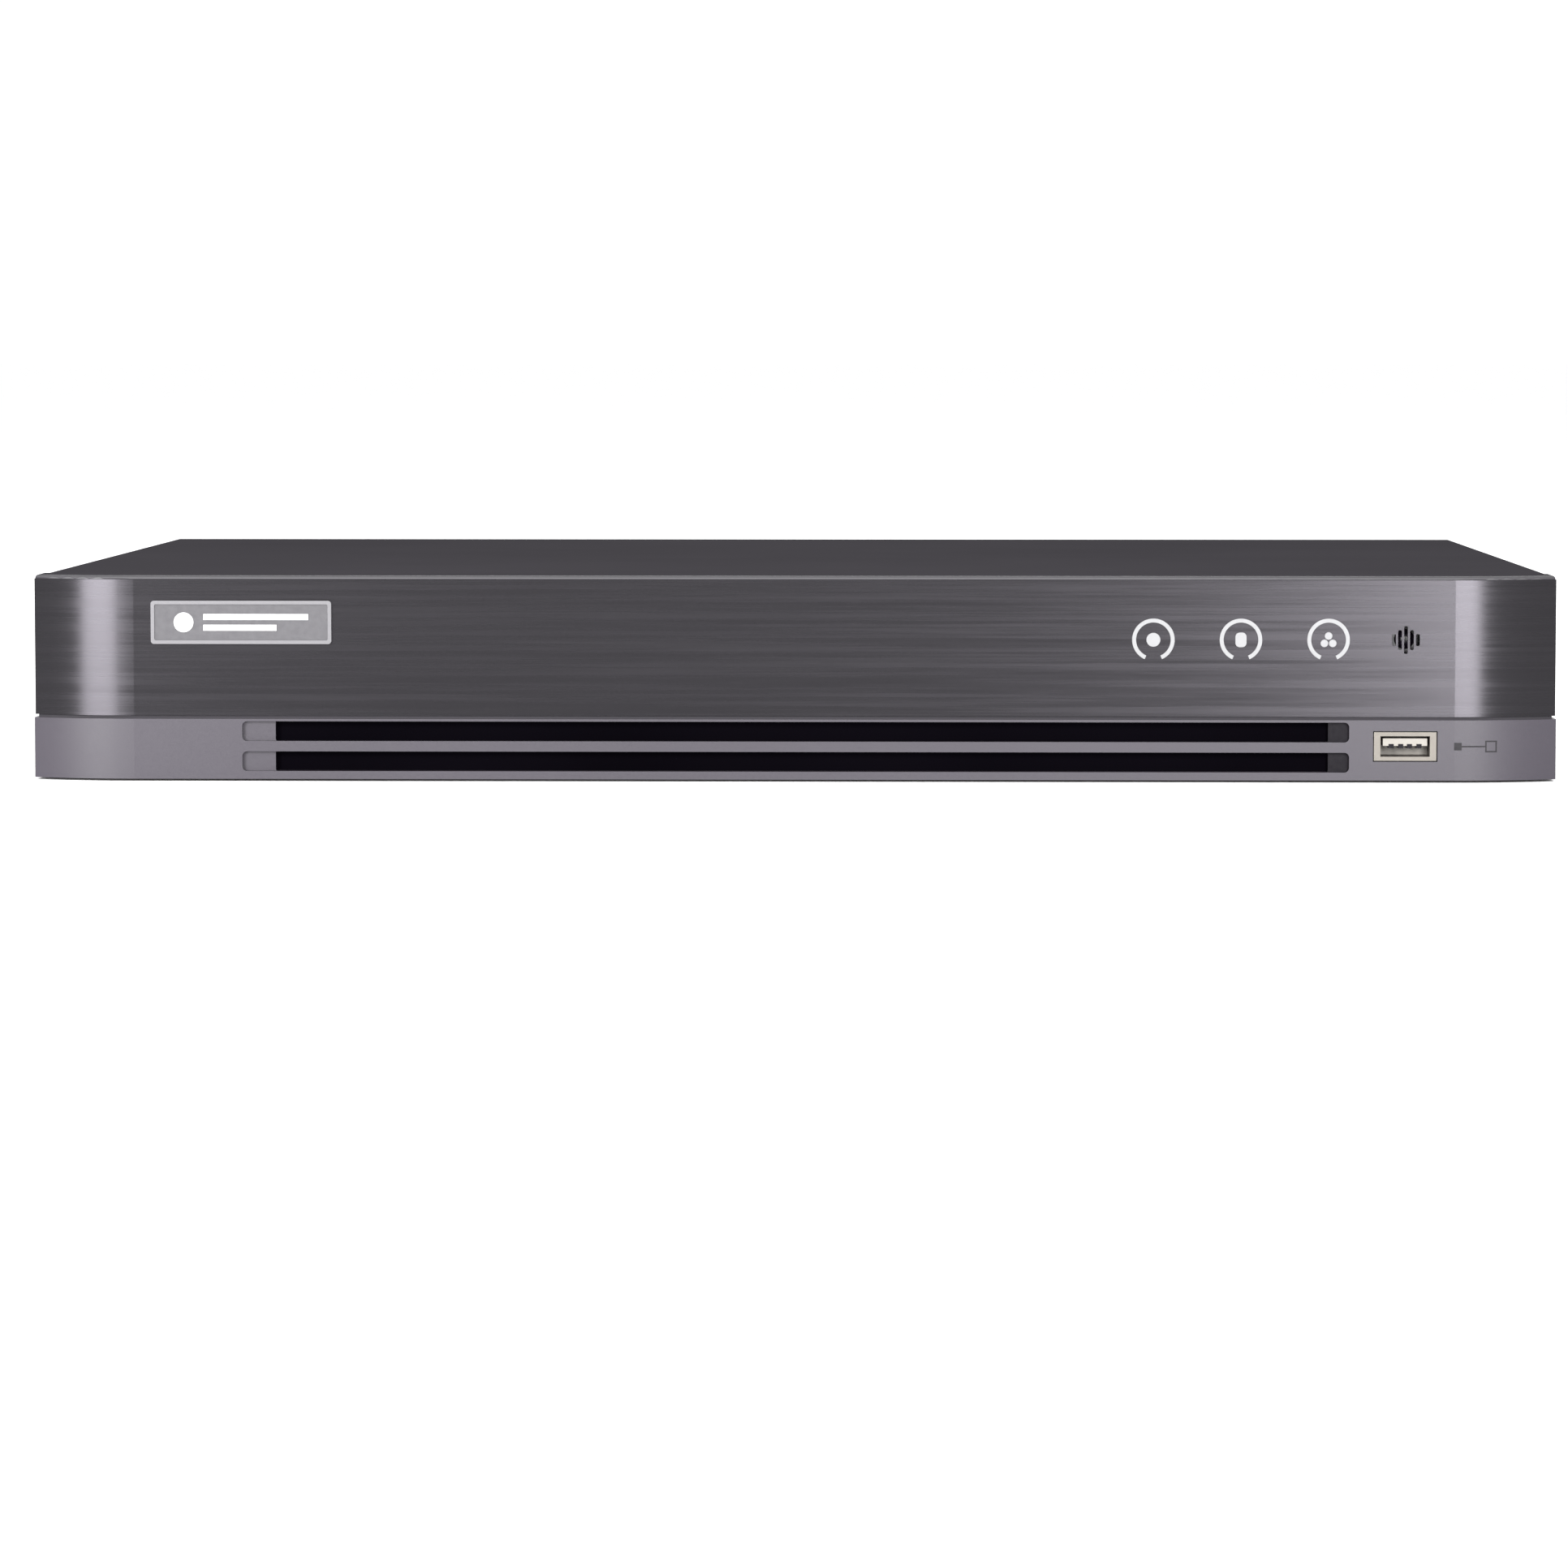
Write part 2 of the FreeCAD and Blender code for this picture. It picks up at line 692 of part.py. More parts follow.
def rear_cutouts():
    """Every hole in the rear panel."""
    display = middle_rectangle("display_mid", "display_level", "16.2", "6.6")
    return [
        *[disc(x, z, "collar_radius + 0.15") for x, z in video_spots()],
        *[disc(x, z, "5.35") for x, z in audio_spots()],
        *[disc(x, z, "1.35") for x, z in jack_screw_spots()],
        *[disc(x, z, "screw_hole") for x, z in cover_screw_spots()],
        *[disc(f"monitor_mid + {side} * post_spacing / 2", "monitor_level", "1.75") for side in (-1, 1)],
        middle_rectangle("usb_mid", "usb_level", "14.9", "7.9"),
        display,
        middle_rectangle("monitor_mid", "monitor_level", "17.4", "9.4"),
        middle_rectangle("lan_mid", "lan_level", "lan_wide + 0.3", "lan_tall + 0.3"),
        rectangle("bus_mid - 3.3", "block_low - 0.15", "6.6", "block_tall + 0.3"),
        rectangle("alarm_mid - 23.8", "block_low - 0.15", "47.6", "block_tall + 0.3"),
        disc("dc_mid", "dc_level", "3.6"),
        middle_rectangle("switch_mid", "switch_level", "19.3", "13.3"),
        disc("earth_mid", "earth_level", "screw_hole"),
    ]


def build_pan():
    piece = Piece("chassis_pan")
    inner = f"{BEZEL_BACK} + steel"
    long = f"{REAR} - {BEZEL_BACK}"
    block = rectangle("-pan_half", BEZEL_BACK, "2 * pan_half", long)
    piece.pad(TOP_VIEW, "foot_high", "side_high - foot_high", block)
    hollow = rectangle("steel - pan_half", inner, "2 * (pan_half - steel)", f"{long} - 2 * steel")
    piece.pocket(TOP_VIEW, PAN_FLOOR, "height", hollow)
    wings = rectangle("-wing_half", "wing_low", "2 * wing_half", "pan_top - wing_low")
    piece.pad(FRONT_VIEW, INNER_REAR, "steel", wings)
    front = rectangle("-pan_half", "side_high - 1", "2 * pan_half", "pan_top - side_high + 1")
    piece.pad(FRONT_VIEW, BEZEL_BACK, "steel", front)
    piece.pad(TOP_VIEW, "pan_top - steel", "steel", rectangle("-pan_half", BEZEL_BACK, "2 * pan_half", "9"))
    bosses = [disc(x, y, "5") for x, y in disk_holes()]
    piece.pad(TOP_VIEW, f"{PAN_FLOOR} - 0.5", f"disk_low - {PAN_FLOOR} + 0.5", *bosses)
    posts = [disc(x, y, "3") for x, y in board_holes()]
    piece.pad(TOP_VIEW, f"{PAN_FLOOR} - 0.5", f"board_low - {PAN_FLOOR} + 0.5", *posts)
    windows = [rounded("-132", "9", "264", "22", "3")]
    windows += [middle_rectangle(x, "(bezel_low + 5.2)", "clip_wide + 0.4", "1.8") for x in CLIP_MIDS]
    windows += [middle_rectangle(x, "(height - 6.8)", "clip_wide + 0.4", "1.8") for x in CLIP_MIDS]
    piece.pocket(FRONT_VIEW, f"{BEZEL_BACK} - 1", "3", *windows)
    piece.pocket(FRONT_VIEW, f"{INNER_REAR} - 1", "3", *rear_cutouts())
    holes = [disc(x, y, "1.7") for x, y in disk_holes()]
    holes += [disc(x, y, "1.3") for x, y in board_holes()]
    holes += [disc(x, y, "1.7") for x, y in foot_spots()]
    piece.pocket(TOP_VIEW, "foot_high - 1", "8", *holes)
    fan = [disc("fan_along", "fan_level", "18.6"), *[disc(y, z, "1.7") for y, z in fan_holes()]]
    piece.pocket(SIDE_VIEW, "-pan_half - 1", "3", *fan)
    for wall, start in (("-pan_half - 1", "-110"), ("pan_half - 2", "-110"), ("pan_half - 2", "56")):
        vent = piece.pocket(SIDE_VIEW, wall, "3", rounded(start, "14", "4", "24", "1.9"))
        piece.repeat(vent, "Y_Axis", "8", 7)
    for start in ("-118", "60"):
        vent = piece.pocket(TOP_VIEW, "foot_high - 1", "3", rounded(start, "60", "40", "4", "1.9"))
        piece.repeat(vent, "Y_Axis", "10", 5)


def build_cover():
    piece = Piece("top_cover")
    front = f"({BEZEL_BACK} + air)"
    long = f"({REAR} + steel - {front})"
    under = "(height - 0.5 - steel)"
    block = rectangle("-cover_half", front, "2 * cover_half", long)
    piece.pad(TOP_VIEW, "skirt_low", "height - 0.5 - skirt_low", block)
    wide = "2 * (cover_half - steel)"
    hollow = rectangle("steel - cover_half", f"{front} - 1", wide, f"{long} + 1 - steel")
    piece.pocket(TOP_VIEW, "skirt_low + steel", f"{under} - skirt_low - steel", hollow)
    hem = rectangle("-pan_half - 1.7", f"{front} - 1", "2 * pan_half + 3.4", f"{long} + 1 - steel")
    piece.pocket(TOP_VIEW, "skirt_low - 1", "3", hem)
    window = rectangle(
        "flange_side - cover_half",
        "skirt_low - 1",
        "2 * (cover_half - flange_side)",
        "height - 0.5 - flange_top - skirt_low + 1",
    )
    piece.pocket(FRONT_VIEW, f"{REAR} - 0.5", "3", window)
    tabs = [
        rounded(f"{x} - 5", "tab_screw_level - 3.6", "10", "6.4", "2.9") for x in ("94.8", "-87.5")
    ]
    ears = [disc(f"{side} * pan_half", "side_screw_level", "3.6") for side in (-1, 1)]
    piece.pad(FRONT_VIEW, REAR, "steel", *tabs, *ears)
    notches = [rounded(f"{x} - 5", "tab_screw_level - 3", "10", "6", "2.4") for x in ("-115", "-178.8")]
    holes = [disc(x, z, "screw_hole") for x, z in cover_screw_spots()]
    piece.pocket(FRONT_VIEW, f"{REAR} - 0.5", "3", *notches, *holes)
    for start in ("-110", "56"):
        opening = rounded(start, "14", "4", "24", "1.9")
        vent = piece.pocket(SIDE_VIEW, "-cover_half - 1", "2 * cover_half + 2", opening)
        piece.repeat(vent, "Y_Axis", "8", 7)


# ---------------------------------------------------------------- screws
SCREW_TURN = {"x": 0, "y": 1, "z": 2}


def screw(name, axis, sense, at, head_radius, head_high, shank_radius, shank_long):
    """A cross-headed screw: 'at' is the middle of the seat under the head, which points along the sense."""
    run = SCREW_TURN[axis]
    starts = []
    for length, outward in ((head_high, sense > 0), (shank_long, sense < 0)):
        start = list(at)
        if not outward:
            start[run] = f"({at[run]}) - ({length})"
        starts.append(start)
    head = rod(name + "_head", axis, starts[0], head_radius, head_high)
    shank = rod(name + "_shank", axis, starts[1], shank_radius, shank_long)
    slots = []
    for turn in (1, 2):
        size = [f"({head_radius}) * 0.3"] * 3
        size[(run + turn) % 3] = f"({head_radius}) * 1.3"
        size[run] = f"({head_high}) * 1.2"
        middle = list(at)
        middle[run] = f"({at[run]}) + {sense} * ({head_high})"
        slots.append(middle_box(f"{name}_slot{turn}", middle, size))
    return cut(name, fuse(name + "_blank", head, shank), *slots)


def build_cover_screws():
    seat = f"{REAR} + steel"
    screws = [
        screw(f"cover_screw_{i}", "y", 1, (x, seat, z), "2.7", "1.9", "screw_hole - 0.1", "3")
        for i, (x, z) in enumerate(cover_screw_spots(), start=1)
    ]
    group("cover_screws", *screws)


def build_machine_screws():
    screws = []
    for i, (x, y) in enumerate(disk_holes(), start=1):
        screws.append(screw(f"disk_screw_{i}", "z", -1, (x, y, "foot_high"), "2.9", "1.6", "1.55", "6"))
    for i, (x, y) in enumerate(board_holes(), start=1):
        screws.append(screw(f"board_screw_{i}", "z", 1, (x, y, BOARD_TOP), "2.6", "1.8", "1.2", "5.4"))
    for i, (x, y) in enumerate(foot_spots(), start=1):
        under = (x, y, "foot_high / 2 + 0.2")
        screws.append(screw(f"foot_screw_{i}", "z", -1, under, "2.9", "1.3", "1.55", "5"))
    for i, (x, z) in enumerate(jack_screw_spots(), start=1):
        screws.append(screw(f"jack_screw_{i}", "y", 1, (x, REAR, z), "2.2", "1.6", "1.2", "7"))
    seat = f"{FACE} + front_board_at + board_thick"
    for i, (x, z) in enumerate(FRONT_BOARD_POSTS, start=1):
        screws.append(screw(f"front_board_screw_{i}", "y", 1, (x, seat, z), "2.3", "1.6", "1.15", "6"))
    for i, (y, z) in enumerate(fan_holes(), start=1):
        screws.append(screw(f"fan_screw_{i}", "x", -1, ("-pan_half", y, z), "2.9", "1.4", "1.6", "9"))
    at = ("earth_mid", REAR, "earth_level")
    screws.append(screw("ground_screw", "y", 1, at, "3.5", "2.4", "screw_hole - 0.1", "5"))
    group("machine_screws", *screws)


def build_feet():
    feet = []
    for i, (x, y) in enumerate(foot_spots(), start=1):
        pad = cone(f"foot_{i}_pad", "z", (x, y, "0"), "foot_radius - 0.8", "foot_radius", "foot_high")
        recess = rod(f"foot_{i}_recess", "z", (x, y, "-1"), "3.4", "foot_high / 2 + 1.2")
        hole = rod(f"foot_{i}_hole", "z", (x, y, "0"), "1.65", "foot_high + 1")
        feet.append(cut(f"foot_{i}", pad, recess, hole))
    group("rubber_feet", *feet)


# ---------------------------------------------------------------- rear jacks
SEAT = f"({INNER_REAR} - 0.1)"  # front of the jack housings, just inside the rear panel


def build_video_jacks():
    """Bayonet jacks: shell, insulator and contact of each, seated in the housings."""
    shells, insulators, contacts = [], [], []
    for i, (x, z) in enumerate(video_spots(), start=1):
        name = f"video_jack_{i}"
        tip = f"({REAR} + jack_reach)"
        collar = rod(name + "_collar", "y", (x, SEAT, z), "collar_radius", f"{REAR} + 2.5 - {SEAT}")
        neck = rod(name + "_neck", "y", (x, f"{REAR} + 2", z), "barrel_radius - 0.7", "4")
        barrel = rod(name + "_barrel", "y", (x, f"{REAR} + 4.6", z), "barrel_radius", "jack_reach - 4.6")
        lugs = rod(name + "_lugs", "x", (f"{x} - 5.6", f"{REAR} + 9", z), "0.95", "11.2")
        bore = rod(name + "_bore", "y", (x, f"{tip} - 9", z), "4.05", "10")
        seat = rod(name + "_seat", "y", (x, f"{SEAT} - 1", z), "2.4", "jack_reach")
        shells.append(cut(name + "_shell", fuse(name + "_blank", collar, neck, barrel, lugs), bore, seat))
        core = rod(name + "_core", "y", (x, SEAT, z), "2.35", f"{tip} - 3.6 - {SEAT}")
        core_hole = rod(name + "_core_hole", "y", (x, f"{SEAT} - 1", z), "1.1", "jack_reach + 3")
        insulators.append(cut(name + "_insulator", core, core_hole))
        pin = rod(name + "_pin", "y", (x, f"{SEAT} - 4", z), "1.1", f"{tip} - 4 - {SEAT} + 4")
        pin_hole = rod(name + "_pin_hole", "y", (x, f"{tip} - 9", z), "0.68", "8")
        contacts.append(cut(name + "_contact", pin, pin_hole))
    return shells, insulators, contacts


def build_audio_jacks():
    """Phono jacks: metal sleeve, coloured insert and contact of each."""
    shells, inserts, contacts = [], [], []
    for i, (x, z) in enumerate(audio_spots(), start=1):
        name = f"audio_jack_{i}"
        base = rod(name + "_base", "y", (x, SEAT, z), "5.2", f"{REAR} + 1.2 - {SEAT}")
        sleeve = rod(name + "_sleeve", "y", (x, REAR, z), "4.15", "audio_reach")
        hollow = rod(name + "_hollow", "y", (x, f"{SEAT} - 1", z), "3.5", "audio_reach + 3")
        shells.append(cut(name + "_shell", fuse(name + "_blank", base, sleeve), hollow))
        insert = rod(name + "_body", "y", (x, SEAT, z), "3.45", f"{REAR} + audio_reach - 0.3 - {SEAT}")
        bore = rod(name + "_bore", "y", (x, f"{REAR} - 0.1", z), "1.75", "audio_reach + 1")
        back = rod(name + "_back", "y", (x, f"{SEAT} - 1", z), "0.8", "4")
        inserts.append(cut(name + "_insert", insert, bore, back))
        tube = rod(name + "_tube", "y", (x, f"{SEAT} - 4", z), "0.75", "4.95")
        spring = rod(name + "_spring", "y", (x, f"{REAR} - 0.1", z), "1.7", "audio_reach / 2")
        spring_hole = rod(name + "_spring_hole", "y", (x, f"{REAR} + 0.9", z), "1.45", "audio_reach")
        contacts.append(fuse(name + "_contact", tube, cut(name + "_cup", spring, spring_hole)))
    return shells, inserts, contacts


def build_jacks():
    video_shells, insulators, video_contacts = build_video_jacks()
    audio_shells, inserts, audio_contacts = build_audio_jacks()
    group("bnc_shells", *video_shells)
    group("rca_shells", *audio_shells)
    group("white_insulators", *insulators, inserts[-1])
    group("red_inserts", *inserts[:-1])
    group("jack_contacts", *video_contacts, *audio_contacts)


def build_housings():
    """Moulded blocks on the main board that carry the jacks, bored for the contacts and jack screws."""
    blocks = []

    def block(name, left, right, front, low, high):
        size = (f"({right}) - ({left})", f"{SEAT} - ({front})", f"({high}) - ({low})")
        return box(name, (left, front, low), size)

    for column in range(4):
        x = f"(video_first - {column} * video_pitch)"
        blocks.append(block(f"video_block_{column + 1}", f"{x} - 7.9", f"{x} + 7.9", "127", BOARD_TOP, "41"))
    out = "video_out_mid"
    roof = block("video_out_roof", f"{out} - 7.9", f"{out} + 7.9", "117", "23", "41")
    leg = box("video_out_leg", (f"{out} - 7.9", "117", BOARD_TOP), ("15.8", "9", f"24 - {BOARD_TOP}"))
    blocks.append(fuse("video_out_block", roof, leg))
    blocks.append(block("audio_column", "18.1", "32", "126", BOARD_TOP, "39"))
    low = "block_low + block_tall + 0.6"
    roof = block("audio_roof", "-27", "18", "112", low, "39")
    leg = box("audio_leg", ("-27", "112", BOARD_TOP), ("45", "9", f"28 - {BOARD_TOP}"))
    blocks.append(fuse("audio_row", roof, leg))
    holes = [
        rod(f"housing_hole_{i}", "y", (x, f"{SEAT} - 5", z), "1.15", "6")
        for i, (x, z) in enumerate([*video_spots(), *audio_spots()], start=1)
    ]
    holes += [
        rod(f"housing_screw_hole_{i}", "y", (x, f"{SEAT} - 8", z), "1.25", "9")
        for i, (x, z) in enumerate(jack_screw_spots(), start=1)
    ]
    cut("jack_housings", group("housing_blocks", *blocks), *holes)


# ---------------------------------------------------------------- sockets with a shell and a tongue
def shell_box(name, x, z, wide, tall, wall, front, reach, open_back=False):
    """A sheet-metal socket shell, open towards +Y and closed at its other end."""
    outer = box(name + "_outer", (f"{x} - {wide} / 2", front, f"{z} - {tall} / 2"), (wide, reach, tall))
    start = f"{front} - 1" if open_back else f"{front} + {wall}"
    inner = box(
        name + "_inner",
        (f"{x} - {wide} / 2 + {wall}", start, f"{z} - {tall} / 2 + {wall}"),
        (f"{wide} - 2 * {wall}", f"{reach} + 2", f"{tall} - 2 * {wall}"),
    )
    return outer, inner


def build_rear_usb():
    long = f"({REAR} + 0.6 - 130)"
    outer, inner = shell_box("rear_usb_can", "usb_mid", "usb_level", "13.1", "5.9", "0.4", "130", long)
    x, z = "usb_mid", "usb_level"
    rim = middle_box("rear_usb_rim_block", (x, f"{REAR} + 0.4", z), ("14.5", "0.6", "7.5"))
    foot_tall = f"usb_level - 2.9 - {BOARD_TOP}"
    foot = box("rear_usb_foot", (f"{x} - 6.5", "131", BOARD_TOP), ("13", "8", foot_tall))
    cut("rear_usb_shell", fuse("rear_usb_blank", outer, rim, foot), inner)
    block = box("rear_usb_root", (f"{x} - 6.1", "130.45", f"{z} - 2.45"), ("12.2", "3", "4.9"))
    blade = box("rear_usb_blade", (f"{x} - 5.5", "133", f"{z} + 0.1"), ("11", f"{REAR} - 0.4 - 133", "1.8"))
    fuse("rear_usb_tongue", block, blade)


def build_front_usb():
    x, z = "port_mid", "port_level"
    front = f"({FACE} + 0.1)"
    outer = box("front_usb_can", (f"{x} - 6.55", front, f"{z} - 2.95"), ("13.1", "10.2", "5.9"))
    rim = middle_box("front_usb_rim", (x, f"{front} + 0.3", z), ("15.8", "0.6", "7.3"))
    inner = box("front_usb_inner", (f"{x} - 6.15", f"{front} - 1", f"{z} - 2.55"), ("12.3", "10.8", "5.1"))
    cut("front_usb_shell", fuse("front_usb_blank", outer, rim), inner)
    root = box("front_usb_root", (f"{x} - 6.1", f"{front} + 7", f"{z} - 2.5"), ("12.2", "2.75", "5"))
    blade = box("front_usb_blade", (f"{x} - 5.6", f"{front} + 0.6", f"{z} + 0.1"), ("11.2", "7", "1.9"))
    fuse("front_usb_tongue", root, blade)


def build_display_socket():
    """The digital picture socket: a flat shell with cut lower corners and a blade inside."""
    piece = Piece("display_socket_shell")

    def profile(grow, corner):
        half, tall = f"(7.85 - {grow})", f"(3.05 - {grow})"
        return polygon(
            (f"display_mid - {half} + {corner}", f"display_level - {tall}"),
            (f"display_mid + {half} - {corner}", f"display_level - {tall}"),
            (f"display_mid + {half}", f"display_level - {tall} + {corner}"),
            (f"display_mid + {half}", f"display_level + {tall}"),
            (f"display_mid - {half}", f"display_level + {tall}"),
            (f"display_mid - {half}", f"display_level - {tall} + {corner}"),
        )

    piece.pad(FRONT_VIEW, "131", f"{REAR} + 0.5 - 131", profile("0", "2"))
    piece.pocket(FRONT_VIEW, "131.4", "20", profile("0.5", "1.8"))
    left = "display_mid - 7"
    feet = rectangle(left, "132", "14", "6")
    piece.pad(TOP_VIEW, BOARD_TOP, f"display_level - 2.9 - {BOARD_TOP}", feet)
    root = middle_box("display_root", ("display_mid", "132.5", "display_level + 0.6"), ("13.4", "2", "3"))
    blade = middle_box("display_blade", ("display_mid", "137.5", "display_level + 0.3"), ("11.8", "9", "1.5"))
    fuse("display_socket_tongue", root, blade)


def build_monitor_socket():
    """The analogue monitor socket: a D-shaped shell with two threaded posts and a pin block."""
    piece = Piece("monitor_socket_shell")

    def profile(grow):
        half, low_half, tall = f"(8.15 - {grow})", f"(7 - {grow})", f"(4.2 - {grow})"
        return polygon(
            (f"monitor_mid - {low_half}", f"monitor_level - {tall}"),
            (f"monitor_mid + {low_half}", f"monitor_level - {tall}"),
            (f"monitor_mid + {half}", f"monitor_level + {tall} - 0.8"),
            (f"monitor_mid + {half} - 0.8", f"monitor_level + {tall}"),
            (f"monitor_mid - {half} + 0.8", f"monitor_level + {tall}"),
            (f"monitor_mid - {half}", f"monitor_level + {tall} - 0.8"),
        )

    plate = middle_rectangle("monitor_mid", "monitor_level", "30.8", "12.4")
    piece.pad(FRONT_VIEW, f"{INNER_REAR} - 0.85", "0.8", plate)
    piece.pad(FRONT_VIEW, f"{INNER_REAR} - 0.85", f"{REAR} + 5.6 - {INNER_REAR}", profile("0"))
    piece.pocket(FRONT_VIEW, f"{INNER_REAR} - 2", "20", profile("0.5"))
    spots = [f"monitor_mid + {side} * post_spacing / 2" for side in (-1, 1)]
    piece.pad(FRONT_VIEW, f"{INNER_REAR} - 0.2", f"{REAR} + 0.05 - {INNER_REAR} + 0.2", *[
        disc(x, "monitor_level", "1.7") for x in spots
    ])
    posts = [disc(x, "monitor_level", "2.6") for x in spots]
    piece.pad(FRONT_VIEW, REAR, "5", *posts)
    for x in spots:
        piece.pocket(FRONT_VIEW, f"{REAR} - 1", "8", disc(x, "monitor_level", "1.2"))
    flats = [
        rectangle(f"{x} {sign} 2.2{' - 1' if sign == '-' else ''}", "monitor_level - 4", "1", "8")
        for x in spots
        for sign in "-+"
    ]
    piece.pocket(FRONT_VIEW, f"{REAR} + 0.6", "8", *flats)
    at = ("monitor_mid", "137.6", "monitor_level")
    insert_at = ("monitor_mid", f"{REAR} - 0.6", "monitor_level")
    insert = middle_box("monitor_insert_front", insert_at, ("12.6", "7", "6.6"))
    body = middle_box("monitor_insert_body", at, ("19", "8", "11"))
    foot = box("monitor_insert_foot", ("monitor_mid - 9.5", "131", BOARD_TOP), ("19", "10", "6"))
    holes = [
        rod(
            f"monitor_pin_hole_{row}_{i}",
            "y",
            (
                f"monitor_mid + {i * 2.29 + (1.15 if row == 0 else 0)}",
                f"{REAR} - 2",
                f"monitor_level + {row} * 1.98",
            ),
            "0.5",
            "6",
        )
        for row in (-1, 0, 1)
        for i in range(-2, 3)
    ]
    cut("monitor_socket_insert", fuse("monitor_insert_blank", insert, body, foot), *holes)


def build_network_socket():
    """The network socket: a metal can and a moulded insert, both with the stepped opening, latch down."""
    x, z = "lan_mid", "lan_level"
    rear, face = "123", f"({REAR} + 0.8)"
    wall = "0.4"

    def opening(name, start, grow):
        """The plug's outline in three steps from top to bottom."""
        steps = (("5.95", "-1.6", "6.7"), ("3.2", "-3.6", "3"), ("2.3", "-5.2", "3"))
        made = [
            box(
                f"{name}_{i}",
                (f"{x} - {half} - {grow}", start, f"{z} + {low} - {grow}"),
                (f"2 * ({half} + {grow})", "20", f"{tall} + 2 * {grow}"),
            )
            for i, (half, low, tall) in enumerate(steps, start=1)
        ]
        return fuse(name, *made)

    corner = (f"{x} - lan_wide / 2", rear, f"{z} - lan_tall / 2")
    outer = box("lan_can", corner, ("lan_wide", f"{face} - {rear}", "lan_tall"))
    inner = box(
        "lan_can_inside",
        (f"{x} - lan_wide / 2 + {wall}", f"{rear} + {wall}", f"{z} - lan_tall / 2 + {wall}"),
        (f"lan_wide - 2 * {wall}", f"{face} - {rear} - 2 * {wall}", f"lan_tall - 2 * {wall}"),
    )
    foot_tall = f"{z} - lan_tall / 2 + 0.3 - {BOARD_TOP}"
    foot = box("lan_foot", (f"{x} - 8", "124", BOARD_TOP), ("16", "16", foot_tall))
    cut("lan_shell", fuse("lan_blank", outer, foot), inner, opening("lan_mouth", f"{face} - 1", "0.15"))
    body = box(
        "lan_body",
        (
            f"{x} - lan_wide / 2 + {wall} + air",
            f"{rear} + {wall} + air",
            f"{z} - lan_tall / 2 + {wall} + air",
        ),
        (
            f"lan_wide - 2 * ({wall} + air)",
            f"{face} - {rear} - 2 * ({wall} + air)",
            f"lan_tall - 2 * ({wall} + air)",
        ),
    )
    cut("lan_insert", body, opening("lan_plug_space", f"{REAR} - 12", "0"))


def terminal(name, x, ways):
    """A pluggable terminal block: one wire hole and one lever pocket to each way."""
    wide = f"({ways} * pin_pitch + 1.2)"
    front = f"({REAR} - block_deep)"
    face = f"({REAR} + block_reach)"
    corner = (f"{x} - {wide} / 2", front, "block_low")
    body = box(name + "_body", corner, (wide, f"{face} - {front}", "block_tall"))
    step = box(
        name + "_step",
        (f"{x} - {wide} / 2 - 1", f"{face} - 1.2", "block_low - 1"),
        (f"{wide} + 2", "3", "3.2"),
    )
    foot = box(
        name + "_foot",
        (f"{x} - {wide} / 2", f"{front} + 1", BOARD_TOP),
        (wide, "13", f"block_low - {BOARD_TOP} + 1"),
    )
    pockets, levers = [], []
    for way in range(ways):
        mid = f"({x} + ({(ways - 1) / 2} - {way}) * pin_pitch)"
        pockets.append(
            box(
                f"{name}_pocket_{way + 1}",
                (f"{mid} - lever_wide / 2 - 0.08", f"{face} - 8", "lever_level - lever_tall / 2 - 0.08"),
                ("lever_wide + 0.16", "9", "lever_tall + 0.16"),
            )
        )
        hole_at = (mid, f"{face} - 9", "block_low + 6")
        pockets.append(rod(f"{name}_wire_hole_{way + 1}", "y", hole_at, "0.78", "10"))
        levers.append(mid)
    cut(name, fuse(name + "_blank", body, foot), step, *pockets)
    return levers


def lever(name, mid):
    """A push lever, proud of the block's face by 0.8 and clear of the pocket's floor by its travel."""
    face = f"({REAR} + block_reach)"
    long = "(8 - lever_press - 0.05)"
    at = (f"{mid} - lever_wide / 2", f"{face} + 0.8 - {long} - 0.8", "lever_level - lever_tall / 2")
    stem = box(name + "_stem", at, ("lever_wide", f"{long} + 0.8", "lever_tall"))
    tip_at = (f"{mid} - lever_wide", f"{face} + 0.35", f"lever_level - 0.45")
    groove = box(name + "_groove", tip_at, ("2 * lever_wide", "2", "0.9"))
    return cut(name, stem, groove)


def build_terminals():
    for i, mid in enumerate(terminal("alarm_terminal", "alarm_mid", 18), start=1):
        lever(f"alarm_lever_{i:02d}", mid)
    for i, mid in enumerate(terminal("bus_terminal", "bus_mid", 2), start=1):
        lever(f"bus_lever_{i}", mid)


def build_power_inlet():
    x, z = "dc_mid", "dc_level"
    size = ("9", f"{SEAT} - 129.5", f"2 * ({z} - {BOARD_TOP})")
    body = box("dc_body", (f"{x} - 4.5", "129.5", BOARD_TOP), size)
    nose = rod("dc_nose", "y", (x, f"{SEAT} - 1", z), "3.45", f"{REAR} + 0.5 - {SEAT} + 1")
    bore = rod("dc_bore", "y", (x, f"{REAR} - 9.5", z), "2.85", "12")
    pin = rod("dc_pin", "y", (x, f"{REAR} - 11", z), "1", "10")
    fuse("dc_jack", cut("dc_shell", fuse("dc_blank", body, nose), bore), pin)


